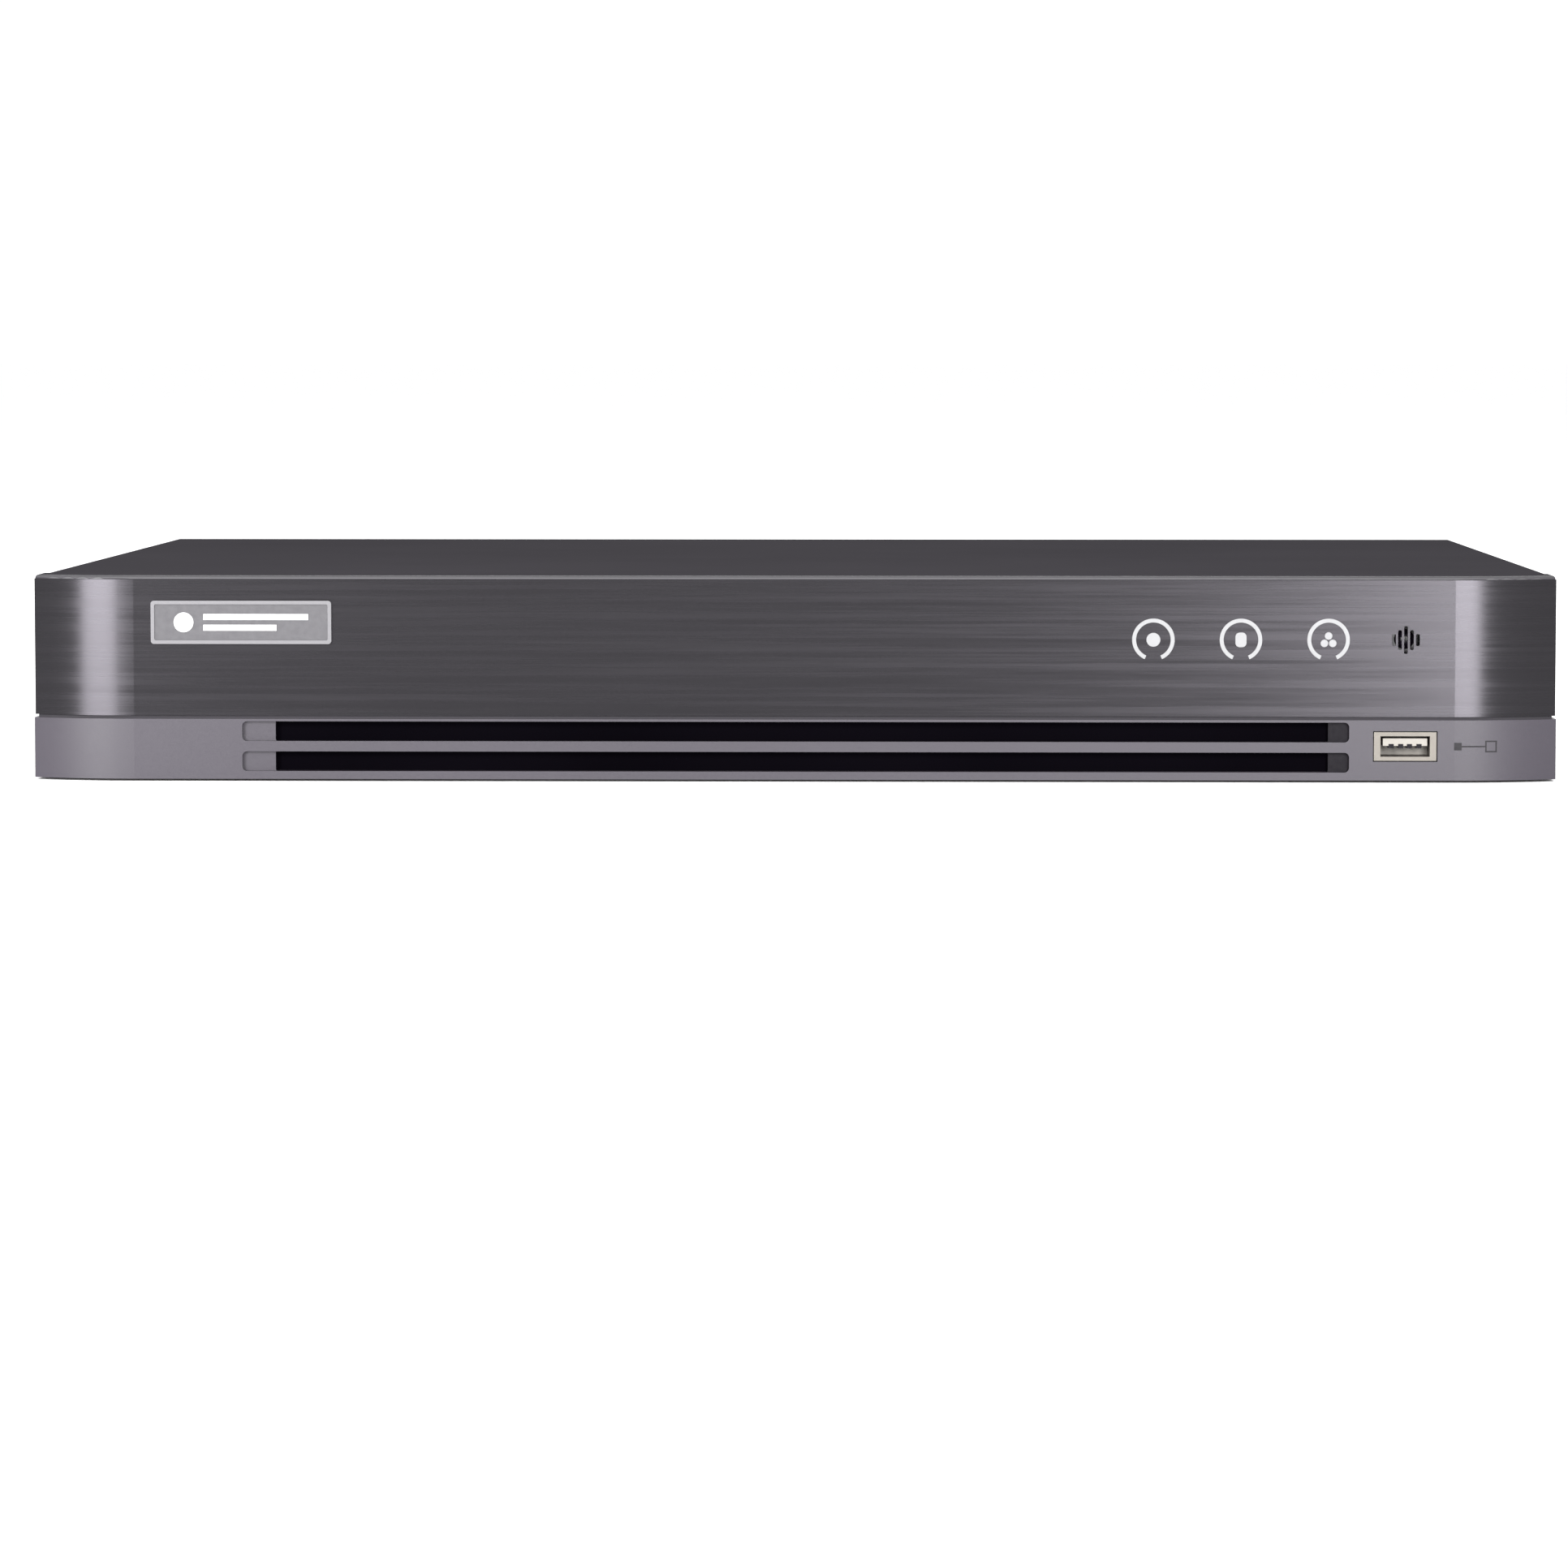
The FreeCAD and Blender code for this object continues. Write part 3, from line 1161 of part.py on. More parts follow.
def build_switch():
    """The power switch: a frame clipped in the panel and a rocker on a cross pin."""
    x, z = "switch_mid", "switch_level"
    collar = middle_box("switch_collar", (x, f"{REAR} + 1", z), ("21.4", "2", "15.4"))
    body = middle_box("switch_body", (x, f"{REAR} - 7.4", z), ("19", "15", "13"))
    hollow = box("switch_hollow", (f"{x} - 8.7", f"{REAR} - 9", f"{z} - 5.6"), ("17.4", "14", "11.2"))
    axle_hole = rod("switch_axle_hole", "z", (x, f"{REAR} - 1.4", f"{z} - 6.2"), "1.25", "12.4")
    lugs = [
        middle_box(f"switch_lug_{i + 1}", (f"{x} + {i - 1} * 6", f"{REAR} - 18", z), ("0.8", "7", "6.3"))
        for i in range(3)
    ]
    cut("switch_frame", fuse("switch_blank", collar, body, *lugs), hollow, axle_hole)
    rocker = Piece("power_rocker")
    rocker.pad(TOP_VIEW, "-5.5", "11", polygon(
        ("-8", "-3.4"),
        ("8", "-3.4"),
        ("8.2", "3.4", ("0", "21", "19.41", -1)),
        ("-8.2", "3.4"),
    ))
    rocker.pad(TOP_VIEW, "-6.1", "12.2", disc("0", "0", "1.2"))
    place(rocker.body, (x, f"{REAR} - 1.4", z))
    rocker.body.Placement.Rotation = Rotation(Vector(0, 0, 1), -number("rocker_tilt"))


# ---------------------------------------------------------------- inside
def build_front_board():
    """The upright board behind the fascia: lamps behind the rings, infrared receiver and front socket."""
    board = Piece("front_board_sheet")
    back = f"{FACE} + front_board_at"
    corners = (("144", "3.6"), ("172", "3.6"), ("172", "46"), ("84", "46"), ("84", "20"), ("144", "20"))
    board.pad(FRONT_VIEW, back, "board_thick", polygon(*corners))
    holes = [disc(x, z, "1.35") for x, z in FRONT_BOARD_POSTS]
    board.pocket(FRONT_VIEW, f"{back} - 1", "4", *holes)
    parts = [
        middle_box(f"lamp_{i + 1}", (ring_mid(i), f"{back} - 1", "ring_level"), ("3.2", "2", "2.8"))
        for i in range(3)
    ]
    receiver_at = ("grille_mid", f"{back} - 2.2", "ring_level")
    parts.append(middle_box("receiver_body", receiver_at, ("7.2", "4.4", "7")))
    dome = doc.addObject("Part::Sphere", "receiver_dome")
    place(dome, ("grille_mid", f"{back} - 4", "ring_level"))
    bind(dome, "Radius", "2.6")
    parts[-1] = fuse("receiver", parts[-1], dome)
    plug = box("front_plug", ("111", f"{back} + board_thick", "23.4"), ("14", "2.4", "5.2"))
    slot = box("front_plug_slot", ("112", f"{back}", "25.4"), ("12", "9", "1.4"))
    group("front_board", board.body, *parts, cut("front_socket", plug, slot))


def heading(start, stop):
    dx, dy = number(stop[0]) - number(start[0]), number(stop[1]) - number(start[1])
    size = math.hypot(dx, dy)
    return round(dx / size), round(dy / size)


def ribbon(name, view, at, wide, path, thick, bend):
    """A flat lead of even thickness that follows a square path with round bends."""
    def point(corner, along, across):
        return [f"({c}) + {a} * ({bend}) + {b} * ({thick}) / 2" for c, a, b in zip(corner, along, across)]

    headings = [heading(a, b) for a, b in zip(path, path[1:])]
    first, last = headings[0], headings[-1]
    left = [point(path[0], (0, 0), (-first[1], first[0]))]
    right = [point(path[0], (0, 0), (first[1], -first[0]))]
    for corner, come, leave in zip(path[1:], headings, headings[1:]):
        turn = come[0] * leave[1] - come[1] * leave[0]
        middle = point(corner, (leave[0] - come[0], leave[1] - come[1]), (0, 0))
        start_left = point(corner, (-come[0], -come[1]), (-come[1], come[0]))
        start_right = point(corner, (-come[0], -come[1]), (come[1], -come[0]))
        end_left = point(corner, leave, (-leave[1], leave[0]))
        end_right = point(corner, leave, (leave[1], -leave[0]))
        left += [(*start_left, (*middle, f"({bend}) - {turn} * ({thick}) / 2", turn)), end_left]
        right += [start_right, (*end_right, (*middle, f"({bend}) + {turn} * ({thick}) / 2", -turn))]
    left.append(point(path[-1], (0, 0), (-last[1], last[0])))
    right.append(point(path[-1], (0, 0), (last[1], -last[0])))
    piece = Piece(name)
    piece.pad(view, f"({at}) - ({wide}) / 2", wide, polygon(*left, *reversed(right)))
    return piece.body


def build_leads():
    """Flat leads: a data and a power lead to each disk, one to the front board and one to the fan."""
    rear = "(disk_front + disk_long)"
    leads = []
    for i, mid in enumerate(("disk_left_mid", "disk_right_mid"), start=1):
        path = ((rear, "11.5"), ("31", "11.5"), ("31", "23"), ("48", "23"), ("48", "14.4"))
        leads.append(ribbon(f"data_lead_{i}", SIDE_VIEW, f"{mid} + 14", "8", path, "1.2", "4"))
        path = ((rear, "11.5"), ("28", "11.5"), ("28", "26"), ("51", "26"), ("51", "14.4"))
        leads.append(ribbon(f"power_lead_{i}", SIDE_VIEW, f"{mid} - 12", "12", path, "1.8", "4"))
    back = f"({FACE} + front_board_at + board_thick + 1.2)"
    down = ((back, "26.1"), ("-131", "26.1"), ("-131", "5.2"))
    path = (*down, ("30", "5.2"), ("30", "22"), ("47", "22"), ("47", "14.4"))
    leads.append(ribbon("front_lead", SIDE_VIEW, "118", "10", path, "1", "4"))
    fan_side = "(steel - pan_half + fan_thick)"
    path = ((fan_side, "12"), ("-140", "12"), ("-140", "22"), ("-111", "22"), ("-111", "14.4"))
    leads.append(ribbon("fan_lead", FRONT_VIEW, "fan_along - 6", "3", path, "1.2", "4"))
    group("inner_leads", *leads)


def build_main_board():
    piece = Piece("main_board")
    wide, long = "board_right - board_left", "142.5 - board_front"
    sheet_shape = rounded("board_left", "board_front", wide, long, "1.5")
    piece.pad(TOP_VIEW, "board_low", "board_thick", sheet_shape)
    piece.pocket(TOP_VIEW, "board_low - 1", "4", *[disc(x, y, "1.35") for x, y in board_holes()])


def build_chips():
    """Packages, capacitors and lead sockets that stand on the main board."""
    top = BOARD_TOP
    packages = {
        "processor": ("40", "90", "24", "24", "2"),
        "memory_1": ("74", "84", "14", "10", "1.2"),
        "memory_2": ("74", "98", "14", "10", "1.2"),
        "video_chip_1": ("140", "98", "16", "16", "1.6"),
        "video_chip_2": ("112", "98", "12", "12", "1.6"),
        "network_chip": ("6", "100", "10", "10", "1.4"),
        "bus_chip": ("-30", "104", "8", "6", "1.6"),
        "boot_chip": ("6", "78", "8", "6", "1.6"),
        "alarm_chip": ("-70", "108", "12", "8", "2.2"),
        "coil_1": ("-36", "78", "10", "10", "5"),
        "coil_2": ("-52", "78", "10", "10", "5"),
    }
    made = [middle_box(n, (x, y, f"{top} + {h} / 2"), (w, d, h)) for n, (x, y, w, d, h) in packages.items()]
    for i in range(5):
        made.append(rod(f"capacitor_{i + 1}", "z", (f"-102 + {i} * 11", "64", top), "4", "9"))
    made.append(rod("clock_cell", "z", ("158", "66", top), "10", "3.2"))
    sockets = {
        "data_socket_1": ("disk_left_mid + 14", "48", "10", "5"),
        "data_socket_2": ("disk_right_mid + 14", "48", "10", "5"),
        "power_socket_1": ("disk_left_mid - 12", "51", "14", "6"),
        "power_socket_2": ("disk_right_mid - 12", "51", "14", "6"),
        "front_lead_socket": ("118", "47", "12", "5"),
        "fan_lead_socket": ("-111", "fan_along - 6", "5", "6"),
    }
    made += [middle_box(n, (x, y, f"{top} + 2.5"), (w, d, "5")) for n, (x, y, w, d) in sockets.items()]
    group("board_chips", *made)


def build_heat_sink():
    piece = Piece("heat_sink")
    low = f"{BOARD_TOP} + 2"
    piece.pad(TOP_VIEW, low, "3", middle_rectangle("40", "90", "40", "40"))
    fin = piece.pad(TOP_VIEW, f"{low} + 2.5", "11.5", rectangle("20", "70", "1.2", "40"))
    piece.repeat(fin, "X_Axis", "38.8 / 9", 10)


def build_disks():
    for i, mid in enumerate(("disk_left_mid", "disk_right_mid"), start=1):
        piece = Piece(f"hard_disk_{i}")
        left = f"{mid} - disk_wide / 2"
        body_shape = rounded(left, "disk_front", "disk_wide", "disk_long", "3")
        piece.pad(TOP_VIEW, "disk_low", "disk_tall", body_shape)
        rim = rounded(f"{left} + 2.4", "disk_front + 2.4", "disk_wide - 4.8", "disk_long - 4.8", "5")
        piece.pocket(TOP_VIEW, "disk_low + disk_tall - 0.8", "5", rim)
        piece.pad(
            TOP_VIEW,
            "disk_low + disk_tall - 1.5",
            "1.3",
            disc(mid, "disk_front + 86", "40"),
        )
        spots = disk_holes()[4 * i - 4 : 4 * i]
        piece.pocket(TOP_VIEW, "disk_low - 1", "4.6", *[disc(x, y, "1.65") for x, y in spots])


def build_fan():
    frame = Piece("fan_frame")
    wall = "(steel - pan_half)"
    square = rounded(
        "fan_along - fan_size / 2", "fan_level - fan_size / 2", "fan_size", "fan_size", "2.5"
    )
    frame.pad(SIDE_VIEW, wall, "fan_thick", square)
    frame.pocket(SIDE_VIEW, f"{wall} - 1", "fan_thick + 2", disc("fan_along", "fan_level", "18.6"))
    holes = [disc(y, z, "1.65") for y, z in fan_holes()]
    frame.pocket(SIDE_VIEW, f"{wall} - 1", "fan_thick + 2", *holes)
    stay_at = f"{wall} + fan_thick - 1.8"
    frame.pad(SIDE_VIEW, stay_at, "1.8", middle_rectangle("fan_along", "fan_level", "39", "2.4"))
    frame.pad(SIDE_VIEW, stay_at, "1.8", middle_rectangle("fan_along", "fan_level", "2.4", "39"))
    frame.pad(SIDE_VIEW, stay_at, "1.8", disc("fan_along", "fan_level", "8"))
    frame.pocket(SIDE_VIEW, f"{stay_at} - 1", "2.2", disc("fan_along", "fan_level", "1.05"))
    rotor = Piece("fan_rotor")
    rotor.pad(SIDE_VIEW, "-3.6", "6.6", disc("0", "0", "8.4"))
    blade_shape = polygon(("-3.2", "-2.2"), ("-2.6", "-2.8"), ("2.8", "2.2"), ("2.2", "2.8"))
    blade = rotor.pad(TOP_VIEW, "7.5", "10", blade_shape)
    rotor.turn_around(blade, "X_Axis", 7)
    rotor.pad(SIDE_VIEW, "2.5", "1.6", disc("0", "0", "1"))
    place(rotor.body, (f"{wall} + fan_thick / 2 - 0.1", "fan_along", "fan_level"))


# ---------------------------------------------------------------- all pieces, checks and export
BUILDERS = (
    build_bezel,
    build_fascia,
    build_badge,
    build_light_guide,
    build_filter,
    build_pan,
    build_cover,
    build_cover_screws,
    build_machine_screws,
    build_feet,
    build_jacks,
    build_housings,
    build_rear_usb,
    build_front_usb,
    build_display_socket,
    build_monitor_socket,
    build_network_socket,
    build_terminals,
    build_power_inlet,
    build_switch,
    build_front_board,
    build_leads,
    build_main_board,
    build_chips,
    build_heat_sink,
    build_disks,
    build_fan,
)

NODES = (
    "chassis_pan",
    "top_cover",
    "front_bezel",
    "fascia_panel",
    "badge_plate",
    "indicator_light_guide",
    "air_filter",
    "front_usb_shell",
    "front_usb_tongue",
    "front_board",
    "rubber_feet",
    "main_board",
    "board_chips",
    "heat_sink",
    "hard_disk_1",
    "hard_disk_2",
    "inner_leads",
    "machine_screws",
    "fan_frame",
    "fan_rotor",
    "jack_housings",
    "bnc_shells",
    "white_insulators",
    "jack_contacts",
    "rca_shells",
    "red_inserts",
    "rear_usb_shell",
    "rear_usb_tongue",
    "display_socket_shell",
    "display_socket_tongue",
    "monitor_socket_shell",
    "monitor_socket_insert",
    "lan_shell",
    "lan_insert",
    "alarm_terminal",
    "bus_terminal",
    "dc_jack",
    "switch_frame",
    "power_rocker",
    "cover_screws",
    *[f"alarm_lever_{way:02d}" for way in range(1, 19)],
    *[f"bus_lever_{way}" for way in (1, 2)],
)

for build in BUILDERS:
    build()
doc.recompute()

for thing in doc.Objects:
    if {"Invalid", "Error"} & set(thing.State):
        raise ValueError(f"{thing.Name} did not build")

os.makedirs("parts", exist_ok=True)
for node in NODES:
    shape = doc.getObject(node).Shape
    if shape.isNull() or not shape.isValid() or not shape.Solids:
        raise ValueError(f"{node} has no valid solid")
    shape.exportStep(f"parts/{node}.step")
print(f"{len(NODES)} pieces written")
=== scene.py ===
"""Looks of the two-drive video recorder: materials for each CAD piece, the printed marks, labels and
contacts that ride on it, a pale floor, soft studio light and the camera."""

import json
import math

import bmesh
import bpy
from mathutils import Matrix, Vector


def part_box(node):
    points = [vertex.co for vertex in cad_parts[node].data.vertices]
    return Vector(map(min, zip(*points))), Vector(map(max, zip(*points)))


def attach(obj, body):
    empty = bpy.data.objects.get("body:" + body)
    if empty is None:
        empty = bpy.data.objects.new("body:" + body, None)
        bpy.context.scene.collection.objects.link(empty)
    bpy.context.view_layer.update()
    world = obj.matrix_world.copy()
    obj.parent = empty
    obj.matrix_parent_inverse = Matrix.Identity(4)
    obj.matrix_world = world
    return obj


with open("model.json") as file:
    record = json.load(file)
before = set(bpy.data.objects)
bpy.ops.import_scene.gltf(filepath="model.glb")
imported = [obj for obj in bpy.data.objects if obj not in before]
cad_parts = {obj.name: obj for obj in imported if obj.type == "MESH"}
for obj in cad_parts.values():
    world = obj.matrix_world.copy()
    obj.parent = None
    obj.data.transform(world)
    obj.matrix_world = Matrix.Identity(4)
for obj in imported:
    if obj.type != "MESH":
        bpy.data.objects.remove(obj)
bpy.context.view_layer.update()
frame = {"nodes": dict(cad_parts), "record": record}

MM = 0.001
ROOT = "recorder"
nodes = frame["nodes"]


def middle(node):
    """The middle of a CAD node's box."""
    low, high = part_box(node)
    return (low + high) / 2


# ---------------------------------------------------------------- materials
PATCH_SCALE = 14.0
GLOSS_SPREAD = 0.08
LINE_GLOSS_SPREAD = 0.07
GRAIN_DEPTH = 0.05 * MM
LINE_DEPTH = 0.02 * MM


def shader_of(material):
    return material.node_tree.nodes["Principled BSDF"]


def new_material(name, metal):
    material = bpy.data.materials.new(name)
    material.use_nodes = True
    shader_of(material).inputs["Metallic"].default_value = metal
    return material


def add_node(material, kind, **values):
    """A node with some of its sockets or settings given by name."""
    node = material.node_tree.nodes.new(kind)
    for key, value in values.items():
        if key in node.inputs:
            node.inputs[key].default_value = value
        else:
            setattr(node, key, value)
    return node


def join(material, source, target):
    material.node_tree.links.new(source, target)


def coordinates(material, stretch=(1, 1, 1)):
    """Object coordinates, in metres, scaled along each axis."""
    place = add_node(material, "ShaderNodeTexCoord")
    mapping = add_node(material, "ShaderNodeMapping")
    mapping.inputs["Scale"].default_value = stretch
    join(material, place.outputs["Object"], mapping.inputs["Vector"])
    return mapping.outputs["Vector"]


def noise(material, vector, scale, detail=3.0, rough=0.55):
    made = add_node(material, "ShaderNodeTexNoise", Scale=scale, Detail=detail, Roughness=rough)
    join(material, vector, made.inputs["Vector"])
    return made.outputs["Fac"]


def ramp(material, factor, low, high, start=0.3, stop=0.7):
    """Two colours or two greys spread over part of a factor."""
    made = add_node(material, "ShaderNodeValToRGB")
    made.color_ramp.elements[0].position = start
    made.color_ramp.elements[1].position = stop
    made.color_ramp.elements[0].color = low
    made.color_ramp.elements[1].color = high
    join(material, factor, made.inputs["Fac"])
    return made.outputs["Color"]


def grey(value):
    return (value, value, value, 1.0)


def shade(colour, factor):
    return tuple(min(1.0, part * factor) for part in colour) + (1.0,)


def bump(material, height, strength, distance):
    made = add_node(material, "ShaderNodeBump", Strength=strength, Distance=distance)
    join(material, height, made.inputs["Height"])
    join(material, made.outputs["Normal"], shader_of(material).inputs["Normal"])


def finish(name, colour, rough, spread, scale, relief, metal=0.0, coat=0.0, specular=0.5):
    """A procedural finish: colour and gloss vary gently, over a fine relief."""
    material = new_material(name, metal)
    shader = shader_of(material)
    shader.inputs["Specular IOR Level"].default_value = specular
    shader.inputs["Coat Weight"].default_value = coat
    grain = noise(material, coordinates(material), scale)
    patches = noise(material, coordinates(material), PATCH_SCALE, 2.0)
    tone = ramp(material, patches, shade(colour, 1 - spread), shade(colour, 1 + spread))
    join(material, tone, shader.inputs["Base Color"])
    smooth = grey(max(0.02, rough - GLOSS_SPREAD))
    dull = grey(min(1.0, rough + GLOSS_SPREAD))
    gloss = ramp(material, grain, smooth, dull)
    join(material, gloss, shader.inputs["Roughness"])
    bump(material, grain, relief, GRAIN_DEPTH)
    return material


def turn_highlights_upright(material, amount):
    """Spreads a metal's highlights along Z."""
    shader = shader_of(material)
    shader.inputs["Anisotropic"].default_value = amount
    shader.inputs["Anisotropic Rotation"].default_value = 0.25
    around = add_node(material, "ShaderNodeTangent", direction_type="RADIAL", axis="Z")
    join(material, around.outputs["Tangent"], shader.inputs["Tangent"])


def brushed(name, colour, rough, along, spread, metal=1.0, relief=0.25, upright=0.0):
    """Metal with fine lines: the noise is squeezed across the lines."""
    material = new_material(name, metal)
    shader = shader_of(material)
    if upright:
        turn_highlights_upright(material, upright)
    lines = noise(material, coordinates(material, along), 1.0, 4.0, 0.7)
    tone = ramp(material, lines, shade(colour, 1 - spread), shade(colour, 1 + spread), 0.35, 0.65)
    join(material, tone, shader.inputs["Base Color"])
    gloss = ramp(material, lines, grey(rough - LINE_GLOSS_SPREAD), grey(rough + LINE_GLOSS_SPREAD))
    join(material, gloss, shader.inputs["Roughness"])
    bump(material, lines, relief, LINE_DEPTH)
    return material


MATERIALS = {
    "pan_steel": finish(
        "pan_paint", (0.47, 0.462, 0.476), rough=0.45, spread=0.02, scale=1600, relief=0.12
    ),
    "cover_paint": finish(
        "cover_paint", (0.034, 0.032, 0.036), rough=0.8, spread=0.04, scale=2200, relief=0.3, specular=0.0
    ),
    "bezel_plastic": finish(
        "bezel_plastic", (0.032, 0.028, 0.036), rough=0.38, spread=0.03, scale=2500, relief=0.15,
        specular=0.32,
    ),
    "fascia_metal": brushed(
        "fascia_metal", (0.034, 0.0322, 0.0358), rough=0.27, along=(10, 10, 650), spread=0.09, relief=0.16,
        upright=0.8,
    ),
    # the filter's near-black colour is painted shade, standing in for the dark inside of the case seen
    # through the air slots
    "filter_mesh": finish(
        "filter_mesh", (0.0015, 0.0012, 0.002), rough=0.95, spread=0.2, scale=1500, relief=0.5, specular=0.0
    ),
    "badge_metal": brushed(
        "badge_metal", (0.1, 0.097, 0.104), rough=0.5, along=(120, 120, 400), spread=0.05, metal=0.2
    ),
    "light_guide": finish(
        "light_guide", (0.175, 0.175, 0.18), rough=0.4, spread=0.03, scale=400, relief=0.05
    ),
    "socket_metal": brushed(
        "socket_metal", (0.27, 0.255, 0.235), rough=0.42, along=(900, 120, 900), spread=0.06
    ),
    "pale_plastic": finish(
        "pale_plastic", (0.31, 0.29, 0.265), rough=0.5, spread=0.04, scale=900, relief=0.05
    ),
    "board_green": finish(
        "board_green", (0.02, 0.13, 0.05), rough=0.35, spread=0.15, scale=500, relief=0.1, coat=0.3
    ),
    "foot_rubber": finish(
        "foot_rubber", (0.022, 0.022, 0.024), rough=0.8, spread=0.1, scale=1200, relief=0.4
    ),
    "chip_black": finish(
        "chip_black", (0.02, 0.02, 0.023), rough=0.5, spread=0.1, scale=1500, relief=0.2
    ),
    "sink_aluminium": brushed(
        "sink_aluminium", (0.7, 0.7, 0.72), rough=0.35, along=(900, 900, 120), spread=0.05
    ),
    "disk_metal": finish(
        "disk_metal", (0.42, 0.42, 0.44), rough=0.4, spread=0.05, scale=1500, relief=0.2, metal=1.0
    ),
    "lead_sheath": finish(
        "lead_sheath", (0.3, 0.02, 0.02), rough=0.4, spread=0.06, scale=600, relief=0.1
    ),
    "screw_steel": brushed(
        "screw_steel", (0.3, 0.29, 0.275), rough=0.32, along=(700, 700, 700), spread=0.08
    ),
    "black_plastic": finish(
        "black_plastic", (0.017, 0.016, 0.019), rough=0.42, spread=0.08, scale=1800, relief=0.2
    ),
    "jack_nickel": brushed(
        "jack_nickel", (0.36, 0.34, 0.31), rough=0.24, along=(300, 900, 300), spread=0.08
    ),
    "contact_gold": brushed(
        "contact_gold", (0.34, 0.24, 0.1), rough=0.3, along=(600, 600, 600), spread=0.06
    ),
    "red_plastic": finish(
        "red_plastic", (0.3, 0.01, 0.016), rough=0.42, spread=0.05, scale=900, relief=0.08
    ),
    "blue_plastic": finish(
        "blue_plastic", (0.015, 0.07, 0.33), rough=0.4, spread=0.05, scale=900, relief=0.08
    ),
    "terminal_green": finish(
        "terminal_green", (0.1, 0.3, 0.125), rough=0.45, spread=0.05, scale=1500, relief=0.12
    ),
    "lever_orange": finish(
        "lever_orange", (0.46, 0.1, 0.012), rough=0.45, spread=0.05, scale=1500, relief=0.1
    ),
    "black_screw": brushed(
        "black_screw", (0.04, 0.038, 0.042), rough=0.35, along=(700, 700, 700), spread=0.08
    ),
}
WHITE_PRINT = finish("white_print", (0.42, 0.42, 0.42), rough=0.5, spread=0.03, scale=700, relief=0.05)
DARK_PRINT = finish("dark_print", (0.03, 0.03, 0.035), rough=0.55, spread=0.05, scale=700, relief=0.05)
GREY_PRINT = finish(
    "grey_print", (0.012, 0.011, 0.013), rough=0.6, spread=0.05, scale=700, relief=0.05, specular=0.2
)
LABEL_PAPER = finish("label_paper", (0.78, 0.78, 0.76), rough=0.6, spread=0.03, scale=300, relief=0.1)
BADGE_FACE = finish("badge_face", (0.042, 0.04, 0.045), rough=0.6, spread=0.04, scale=700, relief=0.15)
EDGE_PAINT = finish("edge_paint", (0.026, 0.0245, 0.028), rough=0.5, spread=0.03, scale=1500, relief=0.1)
# painted shade: a near-black that stands in for the shadow in the far slot recesses and deep in the front
# port
PAINTED_RECESS_SHADE = finish(
    "painted_recess_shade", (0.006, 0.005, 0.007), rough=0.6, spread=0.1, scale=900, relief=0.1, specular=0.1
)
# painted shade: darker copies of the socket metal and of the tongue's colour for the front port, to tone
# down the right lamp's reflection in it
PAINTED_SHADE_PORT_METAL = brushed("painted_shade_port_metal", (0.13, 0.12, 0.108), rough=0.5, along=(900, 120, 900), spread=0.06)
PAINTED_SHADE_PORT_TONGUE = finish("painted_shade_port_tongue", (0.2, 0.186, 0.166), rough=0.55, spread=0.04, scale=900, relief=0.05)
RECEIVER_BLACK = finish(
    "receiver_black", (0.006, 0.004, 0.008), rough=0.3, spread=0.1, scale=900, relief=0.1
)

slots = {row["node"]: row["material_slot"] for row in frame["record"]["subparts"]}
for name, node in nodes.items():
    node.data.materials.clear()
    node.data.materials.append(MATERIALS[slots[name]])

# ---------------------------------------------------------------- second materials on some faces
FRONT_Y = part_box("front_bezel")[0].y
BEZEL_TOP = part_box("front_bezel")[1].z
FASCIA_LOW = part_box("fascia_panel")[0].z
BADGE_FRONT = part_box("badge_plate")[0].y
BOARD_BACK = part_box("front_board")[1].y
GROOVE_TOP = FASCIA_LOW - 0.6 * MM
BAND_TOP = FASCIA_LOW - 0.7 * MM
RECESS_LEFT = 120 * MM
RECESS_RIGHT = 140.5 * MM
RECESS_DEEP = 3 * MM
RECEIVER_X = 154.1 * MM
RECEIVER_HALF = 6 * MM


def also(node, material, chosen):
    """Gives the faces of a CAD node that a test picks another material."""
    mesh = nodes[node].data
    mesh.materials.append(material)
    index = len(mesh.materials) - 1
    for face in mesh.polygons:
        if chosen(face):
            face.material_index = index


def is_above_groove(face):
    return face.center.z > GROOVE_TOP


def is_on_top_edge(face):
    """On the bezel's rounded edge, which faces forwards and up."""
    return face.center.z > BEZEL_TOP - 2 * MM and face.normal.y < -0.2 and face.normal.z > 0.2


def is_in_far_recess(face):
    """Inside either air slot's recess at the +X end, whose faces get painted shade."""
    at = face.center
    if not RECESS_LEFT < at.x < RECESS_RIGHT:
        return False
    return at.z < BAND_TOP and FRONT_Y + 0.2 * MM < at.y < FRONT_Y + RECESS_DEEP


def is_badge_field(face):
    """On the badge's sunk face, behind its raised rim."""
    return face.center.y > BADGE_FRONT + 0.1 * MM and face.normal.y < -0.9


def is_receiver(face):
    """On the infrared receiver, which stands in front of the board behind the slots."""
    return abs(face.center.x - RECEIVER_X) < RECEIVER_HALF and face.center.y < BOARD_BACK - 2 * MM


def is_any(face):
    return True


# the bezel above its groove is dark like the cover, with a glossier top edge; the far recesses get painted
# shade
also("front_bezel", MATERIALS["cover_paint"], is_above_groove)
also("front_bezel", EDGE_PAINT, is_on_top_edge)
also("front_bezel", PAINTED_RECESS_SHADE, is_in_far_recess)
# the front port's shell and tongue get these darker, painted-shade copies
also("front_usb_shell", PAINTED_SHADE_PORT_METAL, is_any)
also("front_usb_tongue", PAINTED_SHADE_PORT_TONGUE, is_any)
also("badge_plate", BADGE_FACE, is_badge_field)
also("front_board", RECEIVER_BLACK, is_receiver)

